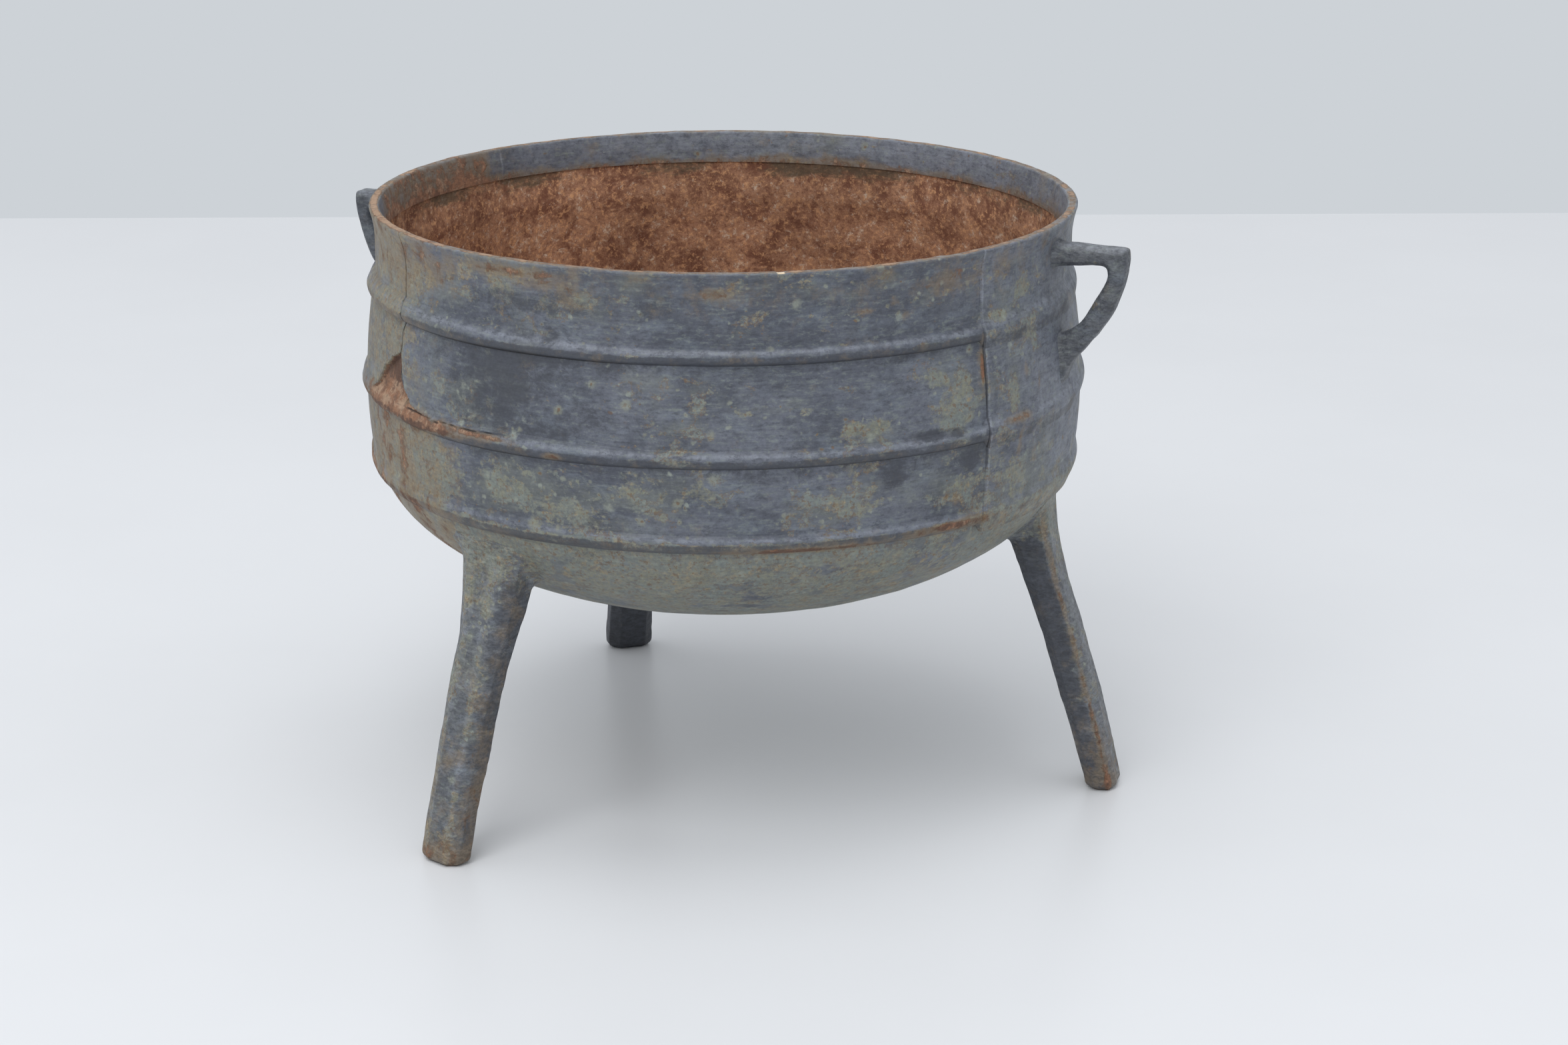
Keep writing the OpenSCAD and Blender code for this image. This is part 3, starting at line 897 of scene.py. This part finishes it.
def inner_bottom_skin(azimuth, z, radius):
    return -rusty_skin(azimuth, z, radius)


def bottom_sheet(inward, rows, bump):
    """Radii and heights of one side of the bottom, from the shoulder down to just above its lowest point."""
    radius, depth = bottom_r - inward, BOTTOM_DEPTH - inward
    start = math.asin((shoulder_z - bottom_z) / depth)
    angle = np.linspace(start, -math.pi / 2, rows + 1)[:-1][:, None]
    r, z = radius * np.cos(angle), bottom_z + depth * np.sin(angle)
    lift = bump(BOTTOM_COLUMNS, z, r) * smooth(0, 0.15, -np.sin(angle))
    return r + lift * np.cos(angle), z + lift * np.sin(angle)


under_r, under_z = bottom_sheet(0, BOTTOM_ROWS, bottom_skin)
bowl_r, bowl_z = bottom_sheet(WALL, BOTTOM_INNER_ROWS, inner_bottom_skin)
outside = on_pot(BOTTOM_COLUMNS, under_r, under_z).reshape(-1, 3)
inside = on_pot(BOTTOM_COLUMNS, bowl_r, bowl_z)[::-1].reshape(-1, 3)
lowest = [[0, 0, bottom_z - BOTTOM_DEPTH], [0, 0, bottom_z - BOTTOM_DEPTH + WALL]]
bottom_points = np.concatenate([outside, inside, lowest])
bottom_stains = np.concatenate([
    wall_stains_and_shading(BOTTOM_COLUMNS, under_z).reshape(-1, 4),
    np.zeros((len(inside), 4)),
    [UNDERSIDE_STAINS, INSIDE_STAINS],
])

around = len(BOTTOM_COLUMNS)
pole = len(outside) + len(inside)
top_inside = pole - around
outside_faces = flipped(grid_faces(BOTTOM_ROWS, around) + fan(len(outside) - around, around, pole))
inside_faces = flipped(grid_faces(BOTTOM_INNER_ROWS, around, first=len(outside)))
inside_faces += fan(len(outside), around, pole + 1)
joint_faces = [(top_inside + (j + 1) % around, top_inside + j, j, (j + 1) % around) for j in range(around)]
bottom = smooth_piece(
    "round_bottom_shell",
    bottom_points,
    outside_faces + joint_faces + inside_faces,
    bottom_stains,
    [outer_finish, inner_finish],
    [0] * len(outside_faces + joint_faces) + [1] * len(inside_faces),
)

# %% [markdown]
# ## The rim
# Above the ledge the wall is a little thicker and flares out to a rounded lip. The lip is where hands,
# lids and weather wear it: it shows a pale brown line, one fresh chip and small dents.

# %% The rim's outline
RIM_ROWS, LIP_ROWS = 14, 5
LIP_TURNS = np.radians(np.linspace(15, 90, LIP_ROWS))


def rim_outline():
    """Radius, height and outward direction of each point of the rim's section, from the ledge up and over."""
    lip_z = pot_top - LIP_ROUND
    up = np.linspace(ledge_z, lip_z, RIM_ROWS)
    outer = wall_radius(up)
    lean = np.arcsin(np.clip(up - flare_z, 0, None) / flare_curve)
    inner = outer - RIM_WALL / np.cos(lean)
    section = [(r, z, 0.0) for r, z in zip(outer, up)]
    for side, corner_r, turns in ((1, outer[-1], LIP_TURNS), (-1, inner[-1], LIP_TURNS[::-1])):
        for a in turns:
            r = corner_r - side * LIP_ROUND * (1 - math.cos(a))
            section.append((r, lip_z + LIP_ROUND * math.sin(a), a if side > 0 else math.pi - a))
    section += [(r, z, math.pi) for r, z in zip(inner[::-1], up[::-1])]
    return np.array(section)


section = rim_outline()
rim_r, rim_z, rim_turn = (section[:, [k]] for k in range(3))
rim_az = bent(COLUMNS, np.clip(rim_z, ledge_z, pot_top))
rim_place = on_pot(rim_az, rim_r, rim_z)
facing_in = smooth(math.pi / 2, math.pi, rim_turn)
facing_up = np.sin(rim_turn)
print("rim section:", len(section), "points")

# %% The rim's worn surface
CHIP_HALF = 2.6 * MM
CHIP_DEPTH = 1.3 * MM

dents = smooth(0.25, 0.9, noise(rim_place, 30 * MM, 33)) * facing_up
chip = hump(arc(rim_az, CHIP_AZIMUTH), 0, CHIP_HALF, 4) * smooth(0.2, 1.2, rim_turn) * (1 - facing_in)
outer_lift = skin(rim_az, rim_z) + seam_step(rim_az, rim_z)
inner_lift = 0.25 * MM * (lumps(rim_place, 14 * MM, 2, 35) - 1)
rim_lift = outer_lift * (1 - facing_in) + inner_lift * facing_in - 0.5 * MM * dents - CHIP_DEPTH * chip
rim_lift = rim_lift - 0.25 * MM * (1 + noise(rim_place, 7 * MM, 37)) * facing_up
rim_lift = rim_lift - 0.6 * CRACK_DEPTH * crack(rim_az, rim_z)
print("the rim is worn by up to", round(float(-rim_lift.min() / MM), 1), "mm")

# %% The rim's stains, and the rim
BROWN_FROM, BROWN_TO = 157, 163
RAGGED_LEDGE = 3 * MM

lip_wear = facing_up**4 + 0 * rim_az
ragged_az = np.abs(rim_az) + 3 * noise(rim_place, 12 * MM, 39)
brown_side = smooth(BROWN_FROM, BROWN_TO, ragged_az) * facing_in
ragged_z = rim_z + RAGGED_LEDGE * noise(rim_place, 15 * MM, 41)
ledge_side = smooth(ledge_z + 9 * MM, ledge_z, ragged_z) * facing_in
rim_stains = wall_stains_and_shading(rim_az, rim_z)
rim_stains[..., 0] *= 1 - 0.5 * facing_in
rim_stains[..., 1] *= 1 - 0.75 * facing_in
rim_stains[..., 1] += 0.54 * lip_wear + 0.55 * brown_side + 0.10 * facing_in + 0.55 * ledge_side
rim_stains[..., 2] *= 1 - facing_in
rim_stains[..., 3] += 0.9 * lip_wear + 3 * chip + 0.1 * facing_in
rim_points = on_pot(rim_az, rim_r + rim_lift * np.cos(rim_turn), rim_z + rim_lift * facing_up)
rim = ring_piece("rim_ring", rim_points, rim_stains, [outer_finish])

# %% [markdown]
# ## The three bands
# A founder adds bands to a pattern to stiffen the wall and please the eye. Each is a half-round bead with
# a small fillet to the wall. Right of the seam the mould was rammed a little wider, so the beads are
# broad and soft there. Each is a thin ring that lies on the wall's own grid, and its edges dive just
# under the wall.

# %% The bead's outline
BEAD_HALF = 5.6 * MM
WIDE_HALF = 10.5 * MM
WIDE_OUT = 2.7 * MM
FILLET_FROM = 0.93
BEAD_TURN = 68
BEAD_ROWS, FILLET_ROWS = 17, 4
BAND_BACK = 1.2 * MM
SINK = 0.35 * MM

fillet_start = math.sqrt(1 - FILLET_FROM**2)
fillet_end = FILLET_FROM + 2 * fillet_start**2 / FILLET_FROM
round_rows = np.sin(np.radians(np.linspace(-BEAD_TURN, BEAD_TURN, BEAD_ROWS)))
fillet_rows = np.linspace(FILLET_FROM, fillet_end, FILLET_ROWS + 1)[1:]
BEAD_SHARES = np.concatenate([-fillet_rows[::-1], round_rows, fillet_rows])[:, None]


def bead(u):
    """Height of a half-round bead with filleted feet, 1 at its crest."""
    u = np.abs(u)
    fillet = fillet_start * (np.clip(fillet_end - u, 0, None) / (fillet_end - FILLET_FROM)) ** 2
    return np.where(u < FILLET_FROM, np.sqrt(np.clip(1 - u**2, 0, None)), fillet)


def soft_bead(u):
    """The same, but worn to a wave."""
    return np.cos(np.clip(np.abs(u) / fillet_end, 0, 1) * math.pi / 2) ** 2


print("a bead with its fillets is", round(2 * BEAD_HALF * fillet_end / MM, 1), "mm high")


# %% The bands
def band_ring(name, node, wear):
    """A band that lies on the wall's own grid, with its edges just under the wall."""
    low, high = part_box(node)
    crest = (low.z + high.z) / 2
    out = high.x - float(wall_radius(crest))
    share = BEAD_SHARES
    azimuth = COLUMNS + 0 * share
    wide = past_seam(azimuth)
    slack = (1 - wide) * smooth(-75, -115, azimuth) * smooth(0, 0.4, share)
    half = BEAD_HALF + (WIDE_HALF - BEAD_HALF) * wide + 0.7 * BEAD_HALF * slack
    drift = 0.5 * MM * noise(on_pot(azimuth, neck_r, 0), 90 * MM, 71)
    z = crest + drift + share * half
    azimuth = bent(azimuth, z)
    gone = lost_iron(azimuth, z)
    wall = real_wall(azimuth, z)
    worn = 1 - wear * smooth(-0.2, 0.8, noise(on_pot(azimuth, neck_r, 0), 60 * MM, 70))
    crisp = out * bead(share) * (1 - 0.15 * slack)
    height = crisp + (min(out, WIDE_OUT) * soft_bead(share) - crisp) * wide
    sink = SINK * smooth(1.0, fillet_end, np.abs(share))
    front = wall + worn * height - sink - gone
    back_rows = [len(share) - 1, len(share) // 2, 0]
    back = (wall - BAND_BACK - gone)[back_rows]
    points = np.concatenate([on_pot(azimuth, front, z), on_pot(azimuth[back_rows], back, z[back_rows])])
    stains_and_shading = band_stains_and_shading(azimuth, z, share, wide)
    return ring_piece(name, points, np.concatenate([stains_and_shading, stains_and_shading[back_rows]]), [outer_finish])


def band_stains_and_shading(azimuth, z, share, wide):
    """The wall's stain amounts, with a pale upper side of wear and painted highlight, a dark under side of
    dirt and painted shade, and painted shade where the bead meets the wall below.
    """
    worn_and_lit_upper_side = hump(share, 0.50, 0.26)
    dirty_and_shaded_under_side = smooth(0.22, -0.12, share)
    painted_crease_shade = hump(share, -1.1, 0.16)
    stains_and_shading = wall_stains_and_shading(azimuth, z)
    # Painted highlight on the bead's upper side; painted shade on its under side and along its lower foot.
    stains_and_shading[..., 0] += 0.15 * dirty_and_shaded_under_side - 0.2 * worn_and_lit_upper_side
    stains_and_shading[..., 1] += 0.15 * dirty_and_shaded_under_side
    stains_and_shading[..., 2] += (0.55 * dirty_and_shaded_under_side + 0.35 * painted_crease_shade) * (1 - 0.7 * wide)
    stains_and_shading[..., 3] += 0.5 * worn_and_lit_upper_side * (1 - 0.5 * wide)
    return stains_and_shading


upper_band = band_ring("upper_band_ring", "upper_band", wear=0.12)
middle_band = band_ring("middle_band_ring", "middle_band", wear=0.12)
lower_band = band_ring("lower_band_ring", "lower_band", wear=0.3)

# %% [markdown]
# ## Bars for the ears and legs
# Both were cut as square bars with their edges planed off, then cast. A loft through eight-sided sections
# with slightly rounded corners keeps those flats. Sculpting would look softer; the photograph's ridges
# are quite crisp.

# %% One section of a bar, and a curve through listed stations
CORNER_POINTS, SIDE_POINTS = 4, 3


def through(stations, count):
    """A smooth curve through the stations, sampled evenly between them."""
    stations = np.array(stations, float)
    padded = np.concatenate([[2 * stations[0] - stations[1]], stations, [2 * stations[-1] - stations[-2]]])
    place = np.linspace(0, len(stations) - 1, count)
    i = np.minimum(place.astype(int), len(stations) - 2)
    t = (place - i)[:, None]
    a, b, c, d = (padded[i + k] for k in range(4))
    return b + t * (c - a) / 2 + t**2 * (a - 2.5 * b + 2 * c - d / 2) + t**3 * (1.5 * (b - c) + (d - a) / 2)


def towards(here, there, length):
    """A point a little way from one corner to the next, and never past the middle between them."""
    way = there - here
    return here + way * min(0.45, length / np.linalg.norm(way))


def bar_loop(thick, wide, chamfer, corner, flatter=0.0):
    """Offsets across the thickness and the width, round a bar with planed-off edges, one of them flatter."""
    t, w = thick / 2, wide / 2
    c = min(chamfer, 0.45 * min(thick, wide))
    near = -w + 0.5 * flatter
    corners = np.array([
        (t, -w + c + flatter), (t, w - c), (t - c, w), (-t + c, w),
        (-t, w - c), (-t, near + c), (-t + c, near), (t - c + 0.5 * flatter, near),
    ])
    loop = []
    for k, here in enumerate(corners):
        before, after = corners[k - 1], corners[(k + 1) % len(corners)]
        start, end = towards(here, before, corner), towards(here, after, corner)
        for s in np.linspace(0, 1, CORNER_POINTS):
            loop.append(start * (1 - s) ** 2 + here * 2 * s * (1 - s) + end * s**2)
        next_start = towards(after, here, corner)
        for s in np.linspace(0, 1, SIDE_POINTS + 2)[1:-1]:
            loop.append(end * (1 - s) + next_start * s)
    return np.array(loop)


print("points round a bar:", len(bar_loop(1, 1, 0.2, 0.05)))

# %% A closed loft
SOFT_SHARP_ANGLE = 60


def unit(vectors):
    """The vectors, each one long."""
    return vectors / np.maximum(np.linalg.norm(vectors, axis=-1, keepdims=True), 1e-9)


def loft_normals(points):
    """Outward directions of a loft's grid of points, from its neighbours."""
    along = np.gradient(points, axis=0)
    around = np.roll(points, -1, axis=1) - np.roll(points, 1, axis=1)
    return unit(np.cross(around, along))


def with_poles(grid):
    """A grid's values in one list, then the mean of its first ring and of its last."""
    return np.concatenate([grid.reshape(-1, grid.shape[-1]), grid[[0, -1]].mean(axis=1)])


def capped_loft(name, points, stains_and_shading, finish):
    """A closed loft: its rings, and a fan at each end."""
    rows, columns = points.shape[:2]
    last_ring, first_pole = (rows - 1) * columns, rows * columns
    faces = grid_faces(rows, columns) + flipped(fan(0, columns, first_pole))
    faces += fan(last_ring, columns, first_pole + 1)
    return smooth_piece(
        name, with_poles(points), faces, with_poles(stains_and_shading), [finish], sharp_angle=SOFT_SHARP_ANGLE
    )


print("(3, 4, 0) made one long:", unit(np.array([3.0, 4, 0])))

# %% [markdown]
# ## The ears
# Each ear is an angular loop: a level bar, a sharp outer corner, and a bow that runs back down to the
# wall. Its roots widen into the wall. The stations give the inner and the outer edge, as millimetres out
# from the neck and down from the ear's top, with the bar's width.

# %% The ears
EAR_STATIONS = [
    (-1.5, 19.5, -1.5, -3.6, 26), (0.8, 16.6, 1.0, -1.6, 21.5), (4, 15.5, 4, -1.0, 19.2),
    (10, 14.9, 10, -0.6, 18), (20, 14.2, 21, -0.3, 17.5), (29, 13.5, 33, 0.2, 17.6),
    (33.6, 13.6, 41, 0.4, 18), (36.4, 14.9, 49.4, 0.9, 18.4), (37.3, 17.6, 51.2, 4.4, 18.4),
    (37.2, 21, 51.2, 11, 18), (35.3, 26, 50, 20, 17.6), (30, 35.5, 46.3, 33, 17.5),
    (24, 46, 40, 48.5, 17.5), (18, 54.3, 31, 62, 18), (11.5, 59.8, 21.5, 73.5, 18.5),
    (7.4, 62.2, 14, 83, 19.2), (5.2, 62.6, 9.6, 92.5, 20.8), (3.3, 60.5, 7.1, 100, 24),
]
EAR_RINGS = 96
EAR_CHAMFER, EAR_CORNER = 3.6 * MM, 1.5 * MM


def ear_rings(top):
    """The ear's rings, along +X, from the root of its level bar to the root of its bow."""
    rings = []
    for inner_out, inner_down, outer_out, outer_down, width in through(EAR_STATIONS, EAR_RINGS) * MM:
        inner = np.array([neck_r + inner_out, 0, top - inner_down])
        outer = np.array([neck_r + outer_out, 0, top - outer_down])
        across = outer - inner
        loop = bar_loop(np.linalg.norm(across), width, EAR_CHAMFER, EAR_CORNER)[::-1]
        rings.append((inner + outer) / 2 + loop[:, :1] * unit(across) + loop[:, 1:] * np.array([0, 1, 0]))
    return np.array(rings)


def ear(name, node, turn_by, seed):
    """A loop ear lofted through its stations, turned about the pot's axis."""
    points = ear_rings(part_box(node)[1].z)
    normal = loft_normals(points)
    facing_sky = normal[..., 2]
    lift = 0.35 * MM * (lumps(points, 13 * MM, 3, seed) - 0.9) + 0.12 * MM * noise(points, 4 * MM, seed + 9)
    points = points + normal * lift[..., None]
    # Paler where the bar faces up, a painted highlight, and darker where it faces down, painted shade.
    stains_and_shading = np.stack([
        0.05 + 0.15 * smooth(0.2, 0.9, facing_sky),
        0.05 + 0.25 * smooth(0.3, 0.8, noise(points, 26 * MM, seed + 3)),
        0.42 - 0.35 * smooth(-0.2, 0.7, facing_sky),
        0.1 + 0.35 * smooth(0.3, 0.95, facing_sky),
    ], axis=-1)
    return capped_loft(name, turned(points, turn_by), stains_and_shading, bar_finish)


right_ear = ear("right_loop_ear", "right_ear", turn_by=0, seed=100)
left_ear = ear("left_loop_ear", "left_ear", turn_by=azimuth_of("left_ear"), seed=130)
print("left ear turned by", round(azimuth_of("left_ear"), 1))

# %% [markdown]
# ## The legs
# A leg leans out to its foot, with a knee two thirds of the way up, where it turns more upright and
# thickens into a haunch. Each line of the loft climbs until it meets the bowl, then curls away along the
# bowl's skin as a fillet. A boolean would leave a hard line there; the real one was filled with a thumb
# of wax on the pattern.

# %% The legs' sections
LEG_HEIGHTS = [0, 40, 80, 120, 150, 175, 200, 240]
LEG_CENTRES = [281.2, 270.9, 259, 247.2, 236.8, 228.6, 224.2, 219.0]
LEG_THICKS = [25.4, 27.1, 28.8, 28.3, 27.4, 30.4, 32, 33]
LEG_WIDTHS = [39.0, 38.4, 39.4, 42, 45.7, 51.2, 55.2, 60]
LEG_CHAMFER, LEG_CORNER = 7.5 * MM, 1.2 * MM
LEG_FLATTER = 4.6 * MM
EASED_OVER = 9 * MM
KNEE_TOP = 200 * MM


def eased(values, z):
    """A leg's size at height z, in metres, with the corners of its list eased."""
    spread = [np.interp((z + k * EASED_OVER) / MM, LEG_HEIGHTS, values) for k in (-1, -0.5, 0, 0.5, 1)]
    return sum(spread) / len(spread) * MM


def leg_ring(z, foot_in, inset=0.0):
    """The leg's level section at height z, along +X."""
    centre = eased(LEG_CENTRES, z) - foot_in * (1 - smooth(0, KNEE_TOP, z))
    thick, wide = eased(LEG_THICKS, z) - 2 * inset, eased(LEG_WIDTHS, z) - 2 * inset
    loop = bar_loop(thick, wide, LEG_CHAMFER - 0.6 * inset, LEG_CORNER, LEG_FLATTER)
    return np.stack([centre + loop[:, 0], loop[:, 1], np.full(len(loop), z)], axis=-1)


print("foot:", leg_ring(0, 0).round(4).min(axis=0), "to", leg_ring(0, 0).round(4).max(axis=0))

# %% The fillet between a leg and the bowl
FILLET = 11 * MM
FILLET_RINGS = 9
FILLET_SINK = 0.006
FILLET_CLIMB = 0.45


def in_bowl(points):
    """Under 1 inside the round bottom, 1 on its skin, over 1 outside."""
    radius, height = np.hypot(points[..., 0], points[..., 1]), points[..., 2] - bottom_z
    return np.hypot(radius / bottom_r, height / BOTTOM_DEPTH)


def to_bowl(points, sink=0.0):
    """Points moved to the bowl's skin, or a little under it."""
    low = np.array([0, 0, bottom_z])
    return low + (points - low) / in_bowl(points)[..., None] * (1 - sink)


def to_or_above(points, t):
    """Points of the fillet, kept outside the bowl's skin until the last ring, which dives under it."""
    if t == 1:
        return to_bowl(points, FILLET_SINK)
    return np.where((in_bowl(points) < 1)[:, None], to_bowl(points), points)


def fillet_rings(start, hit):
    """Rings from the leg's last free ring, past the bowl's skin at hit, and away along that skin."""
    outward = hit - hit.mean(axis=0)
    outward[:, 2] = 0
    wish = unit(outward) + FILLET_CLIMB * np.array([0, 0, 1.0])
    off_bowl = unit((hit - [0, 0, bottom_z]) / [bottom_r**2, bottom_r**2, BOTTOM_DEPTH**2])
    along = unit(wish - (wish * off_bowl).sum(axis=1, keepdims=True) * off_bowl)
    end = to_bowl(hit + FILLET * along)
    shares = np.linspace(0, 1, FILLET_RINGS + 1)[1:]
    return [to_or_above(start * (1 - t) ** 2 + hit * 2 * t * (1 - t) + end * t**2, t) for t in shares]


knee = leg_ring(KNEE_TOP, 0)
print("at the knee's top", int((in_bowl(knee) < 1).sum()), "of", len(knee), "lines are inside the bowl")


# %% A leg's rings, stain amounts and painted shading
FOOT_ROUND = 5 * MM
FOOT_RINGS, LEG_RINGS = 6, 96
CLIMB_STEP = 1 * MM


def leg_rings(foot_in):
    """The leg's rings: round the foot's edge, up to the bowl, and out along the bowl's skin."""
    steps = np.arange(FOOT_ROUND, shoulder_z + 4 * MM, CLIMB_STEP)
    climb = np.array([leg_ring(z, foot_in) for z in steps])
    met_z = steps[np.argmax(in_bowl(climb) < 1, axis=0)]
    columns = np.arange(climb.shape[1])

    def at(z_of_column):
        """Each column's point at its own height."""
        place = (z_of_column - steps[0]) / CLIMB_STEP
        i = np.clip(place.astype(int), 0, len(steps) - 2)
        part = (place - i)[:, None]
        return climb[i, columns] * (1 - part) + climb[i + 1, columns] * part

    turns = np.linspace(0, math.pi / 2, FOOT_RINGS + 1)[:-1]
    rings = [leg_ring(FOOT_ROUND * (1 - math.cos(a)), foot_in, FOOT_ROUND * (1 - math.sin(a))) for a in turns]
    free_length = met_z - FILLET - steps[0]
    rings += [at(steps[0] + free_length * share) for share in np.linspace(0, 1, LEG_RINGS)]
    return np.array(rings + fillet_rings(rings[-1], at(met_z)))


def leg_stains_and_shading(points, seed, painted_shade, facet_shade_and_stains, free):
    """The leg's stain amounts and painted shading. A facet has its bearing and half width in degrees, then
    the olive, rust, dark and pale added there, which paint shade and highlight on some faces.
    """
    z = points[..., 2]
    outward_x = points[..., 0] - points[..., 0].mean(axis=1, keepdims=True)
    # Painted shade under the bowl, strongest on the leg's inner side.
    painted_shade = painted_shade * (0.4 + 0.6 * smooth(6 * MM, -6 * MM, outward_x))
    low_down = 1 - smooth(20 * MM, 150 * MM, z)
    foot = 1 - smooth(4 * MM, 22 * MM, z)
    stains_and_shading = np.stack([
        0.42 + 0.25 * smooth(160 * MM, 210 * MM, z) - 0.3 * painted_shade,
        0.10 + 0.26 * low_down + 0.18 * foot + 0.12 * noise(points, 24 * MM, seed + 5) - 0.5 * painted_shade,
        0.12 + 0.12 * noise(points, 40 * MM, seed + 7) + painted_shade,
        0.1 + 0.1 * smooth(120 * MM, 190 * MM, z),
    ], axis=-1)
    bearing = np.degrees(np.arctan2(points[..., 1], outward_x))
    for facet, half_width, *amounts in facet_shade_and_stains:
        there = hump(bearing, facet, half_width, 4) * free
        stains_and_shading += there[..., None] * np.array(amounts)
    return stains_and_shading


print("rings of a leg:", FOOT_RINGS + LEG_RINGS + FILLET_RINGS)


# %% The legs
REAR_FOOT_IN = 12 * MM
# Each facet darkens a face with painted shade or lightens one with painted highlight, with a little olive and
# rust.
LEFT_FACET_SHADE_AND_STAINS = [(-49, 18, 0.4, 0.05, -0.1, 0.4), (43, 9, 0.3, 0.1, -0.1, 0.3), (95, 36, 0, 0.1, 0.5, 0)]
RIGHT_FACET_SHADE_AND_STAINS = [(-105, 38, -0.2, 0, 0.6, 0), (-65, 7, 0, 0.45, 0, 0.1), (-10, 48, -0.1, -0.05, -0.15, 0.25)]


def leg(name, node, foot_in, seed, painted_shade, facet_shade_and_stains):
    """A leg lofted from its foot up to the bowl, and turned to its place."""
    points = leg_rings(foot_in)
    ring = np.arange(len(points))[:, None]
    free = 1 - smooth(len(points) - FILLET_RINGS - 6, len(points) - 1, ring)
    above_floor = smooth(0, 1, ring)
    lift = 0.75 * MM * (lumps(points, 34 * MM, 3, seed) - 1.2) + 0.28 * MM * noise(points, 5 * MM, seed + 9)
    lift = np.minimum(lift, 0) * free * above_floor
    points = points + loft_normals(points) * lift[..., None]
    stains_and_shading = leg_stains_and_shading(points, seed, painted_shade, facet_shade_and_stains, free)
    return capped_loft(name, turned(points, azimuth_of(node)), stains_and_shading, bar_finish)


front_left_leg = leg("front_left_splayed_leg", "front_left_leg", 0, seed=200, painted_shade=0, facet_shade_and_stains=LEFT_FACET_SHADE_AND_STAINS)
front_right_leg = leg(
    "front_right_splayed_leg", "front_right_leg", 0, seed=230, painted_shade=0.05, facet_shade_and_stains=RIGHT_FACET_SHADE_AND_STAINS
)
# The rear leg stands in the bowl's shadow and gets the most painted shade.
rear_leg = leg("rear_splayed_leg", "rear_leg", REAR_FOOT_IN, seed=260, painted_shade=1.0, facet_shade_and_stains=[])

# %% [markdown]
# ## Put the pieces on the frame
# Nothing moves on this pot, so every piece rides on the one body. Each stands for its node of the frame,
# which it hides.

# %% Ride, replace
for piece, node, slot in (
    (belly, "belly", "outer_iron"), (bottom, "round_bottom", "outer_iron"), (rim, "rim", "outer_iron"),
    (upper_band, "upper_band", "outer_iron"), (middle_band, "middle_band", "outer_iron"),
    (lower_band, "lower_band", "outer_iron"), (right_ear, "right_ear", "dark_iron"),
    (left_ear, "left_ear", "dark_iron"), (front_left_leg, "front_left_leg", "dark_iron"),
    (front_right_leg, "front_right_leg", "dark_iron"), (rear_leg, "rear_leg", "dark_iron"),
):
    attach(piece, "root")
    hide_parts(node)
    print(piece.name, "stands for", node, "and takes", slot)

# %% [markdown]
# ## Floor, background and light
# The pot stands on a pale, slightly glossy floor, with a soft light from high on the left and a pale room
# all round. The room is the world's colour, so that it looks the same from every side.

# %% Floor and background
FLOOR_HALF = 1.92
FLOOR_COLOUR = colour(226, 228, 231)
ROOM_COLOUR = colour(205, 210, 215)
ROOM_LIGHT_COLOUR = colour(250, 252, 255)
ROOM_LIGHT = 0.78


def painted_floor():
    """Pale paint with a soft gloss, and hardly uneven."""
    f = Finish("painted_floor")
    evened = f.slope(f.clouds(1.6, 4, 0.6), 0.3, 0.7, 0.97, 1.0)
    return f.done(f.shade(FLOOR_COLOUR[:3], evened), 0.34, 0.4)


SQUARE = np.array([(-1, -1, 0), (1, -1, 0), (1, 1, 0), (-1, 1, 0)])
corners = turned(SQUARE * FLOOR_HALF, CAMERA_AZIMUTH).tolist()
floor_mesh = bpy.data.meshes.new("floor")
floor_mesh.from_pydata(corners, [], [(0, 1, 2, 3)])
floor_mesh.materials.append(painted_floor())
floor = bpy.data.objects.new("floor", floor_mesh)
bpy.context.scene.collection.objects.link(floor)

bpy.context.scene.view_settings.view_transform = "Standard"
world = bpy.context.scene.world or bpy.data.worlds.new("room")
bpy.context.scene.world = world
world.use_nodes = True
tree = world.node_tree
tree.nodes.clear()


def room(shown, strength):
    """One even background."""
    made = tree.nodes.new("ShaderNodeBackground")
    made.inputs["Color"].default_value = shown
    made.inputs["Strength"].default_value = strength
    return made.outputs[0]


path = tree.nodes.new("ShaderNodeLightPath")
seen = tree.nodes.new("ShaderNodeMath")
seen.operation = "MAXIMUM"
tree.links.new(path.outputs["Is Camera Ray"], seen.inputs[0])
tree.links.new(path.outputs["Is Glossy Ray"], seen.inputs[1])
blend = tree.nodes.new("ShaderNodeMixShader")
tree.links.new(seen.outputs[0], blend.inputs[0])
tree.links.new(room(ROOM_LIGHT_COLOUR, ROOM_LIGHT), blend.inputs[1])
tree.links.new(room(ROOM_COLOUR, 1.0), blend.inputs[2])
world_out = tree.nodes.new("ShaderNodeOutputWorld")
tree.links.new(blend.outputs[0], world_out.inputs[0])
print("floor", 2 * FLOOR_HALF, "m wide")


# %% Lights
def softbox(name, across, towards, up, size, power):
    """A square light, placed as seen from the camera: across to the right, towards the camera, and up."""
    lamp = bpy.data.lights.new(name, "AREA")
    lamp.shape = "SQUARE"
    lamp.size = size
    lamp.energy = power
    light = bpy.data.objects.new(name, lamp)
    light.location = turned([across, -towards, up], CAMERA_AZIMUTH)
    aim = Vector((0, 0, pot_top / 2)) - light.location
    light.rotation_mode = "QUATERNION"
    light.rotation_quaternion = aim.to_track_quat("-Z", "Y")
    bpy.context.scene.collection.objects.link(light)
    return light


softbox("key", across=-1.4, towards=3.0, up=3.8, size=3.0, power=90)
softbox("overhead", across=0, towards=0.3, up=4.0, size=2.0, power=24)
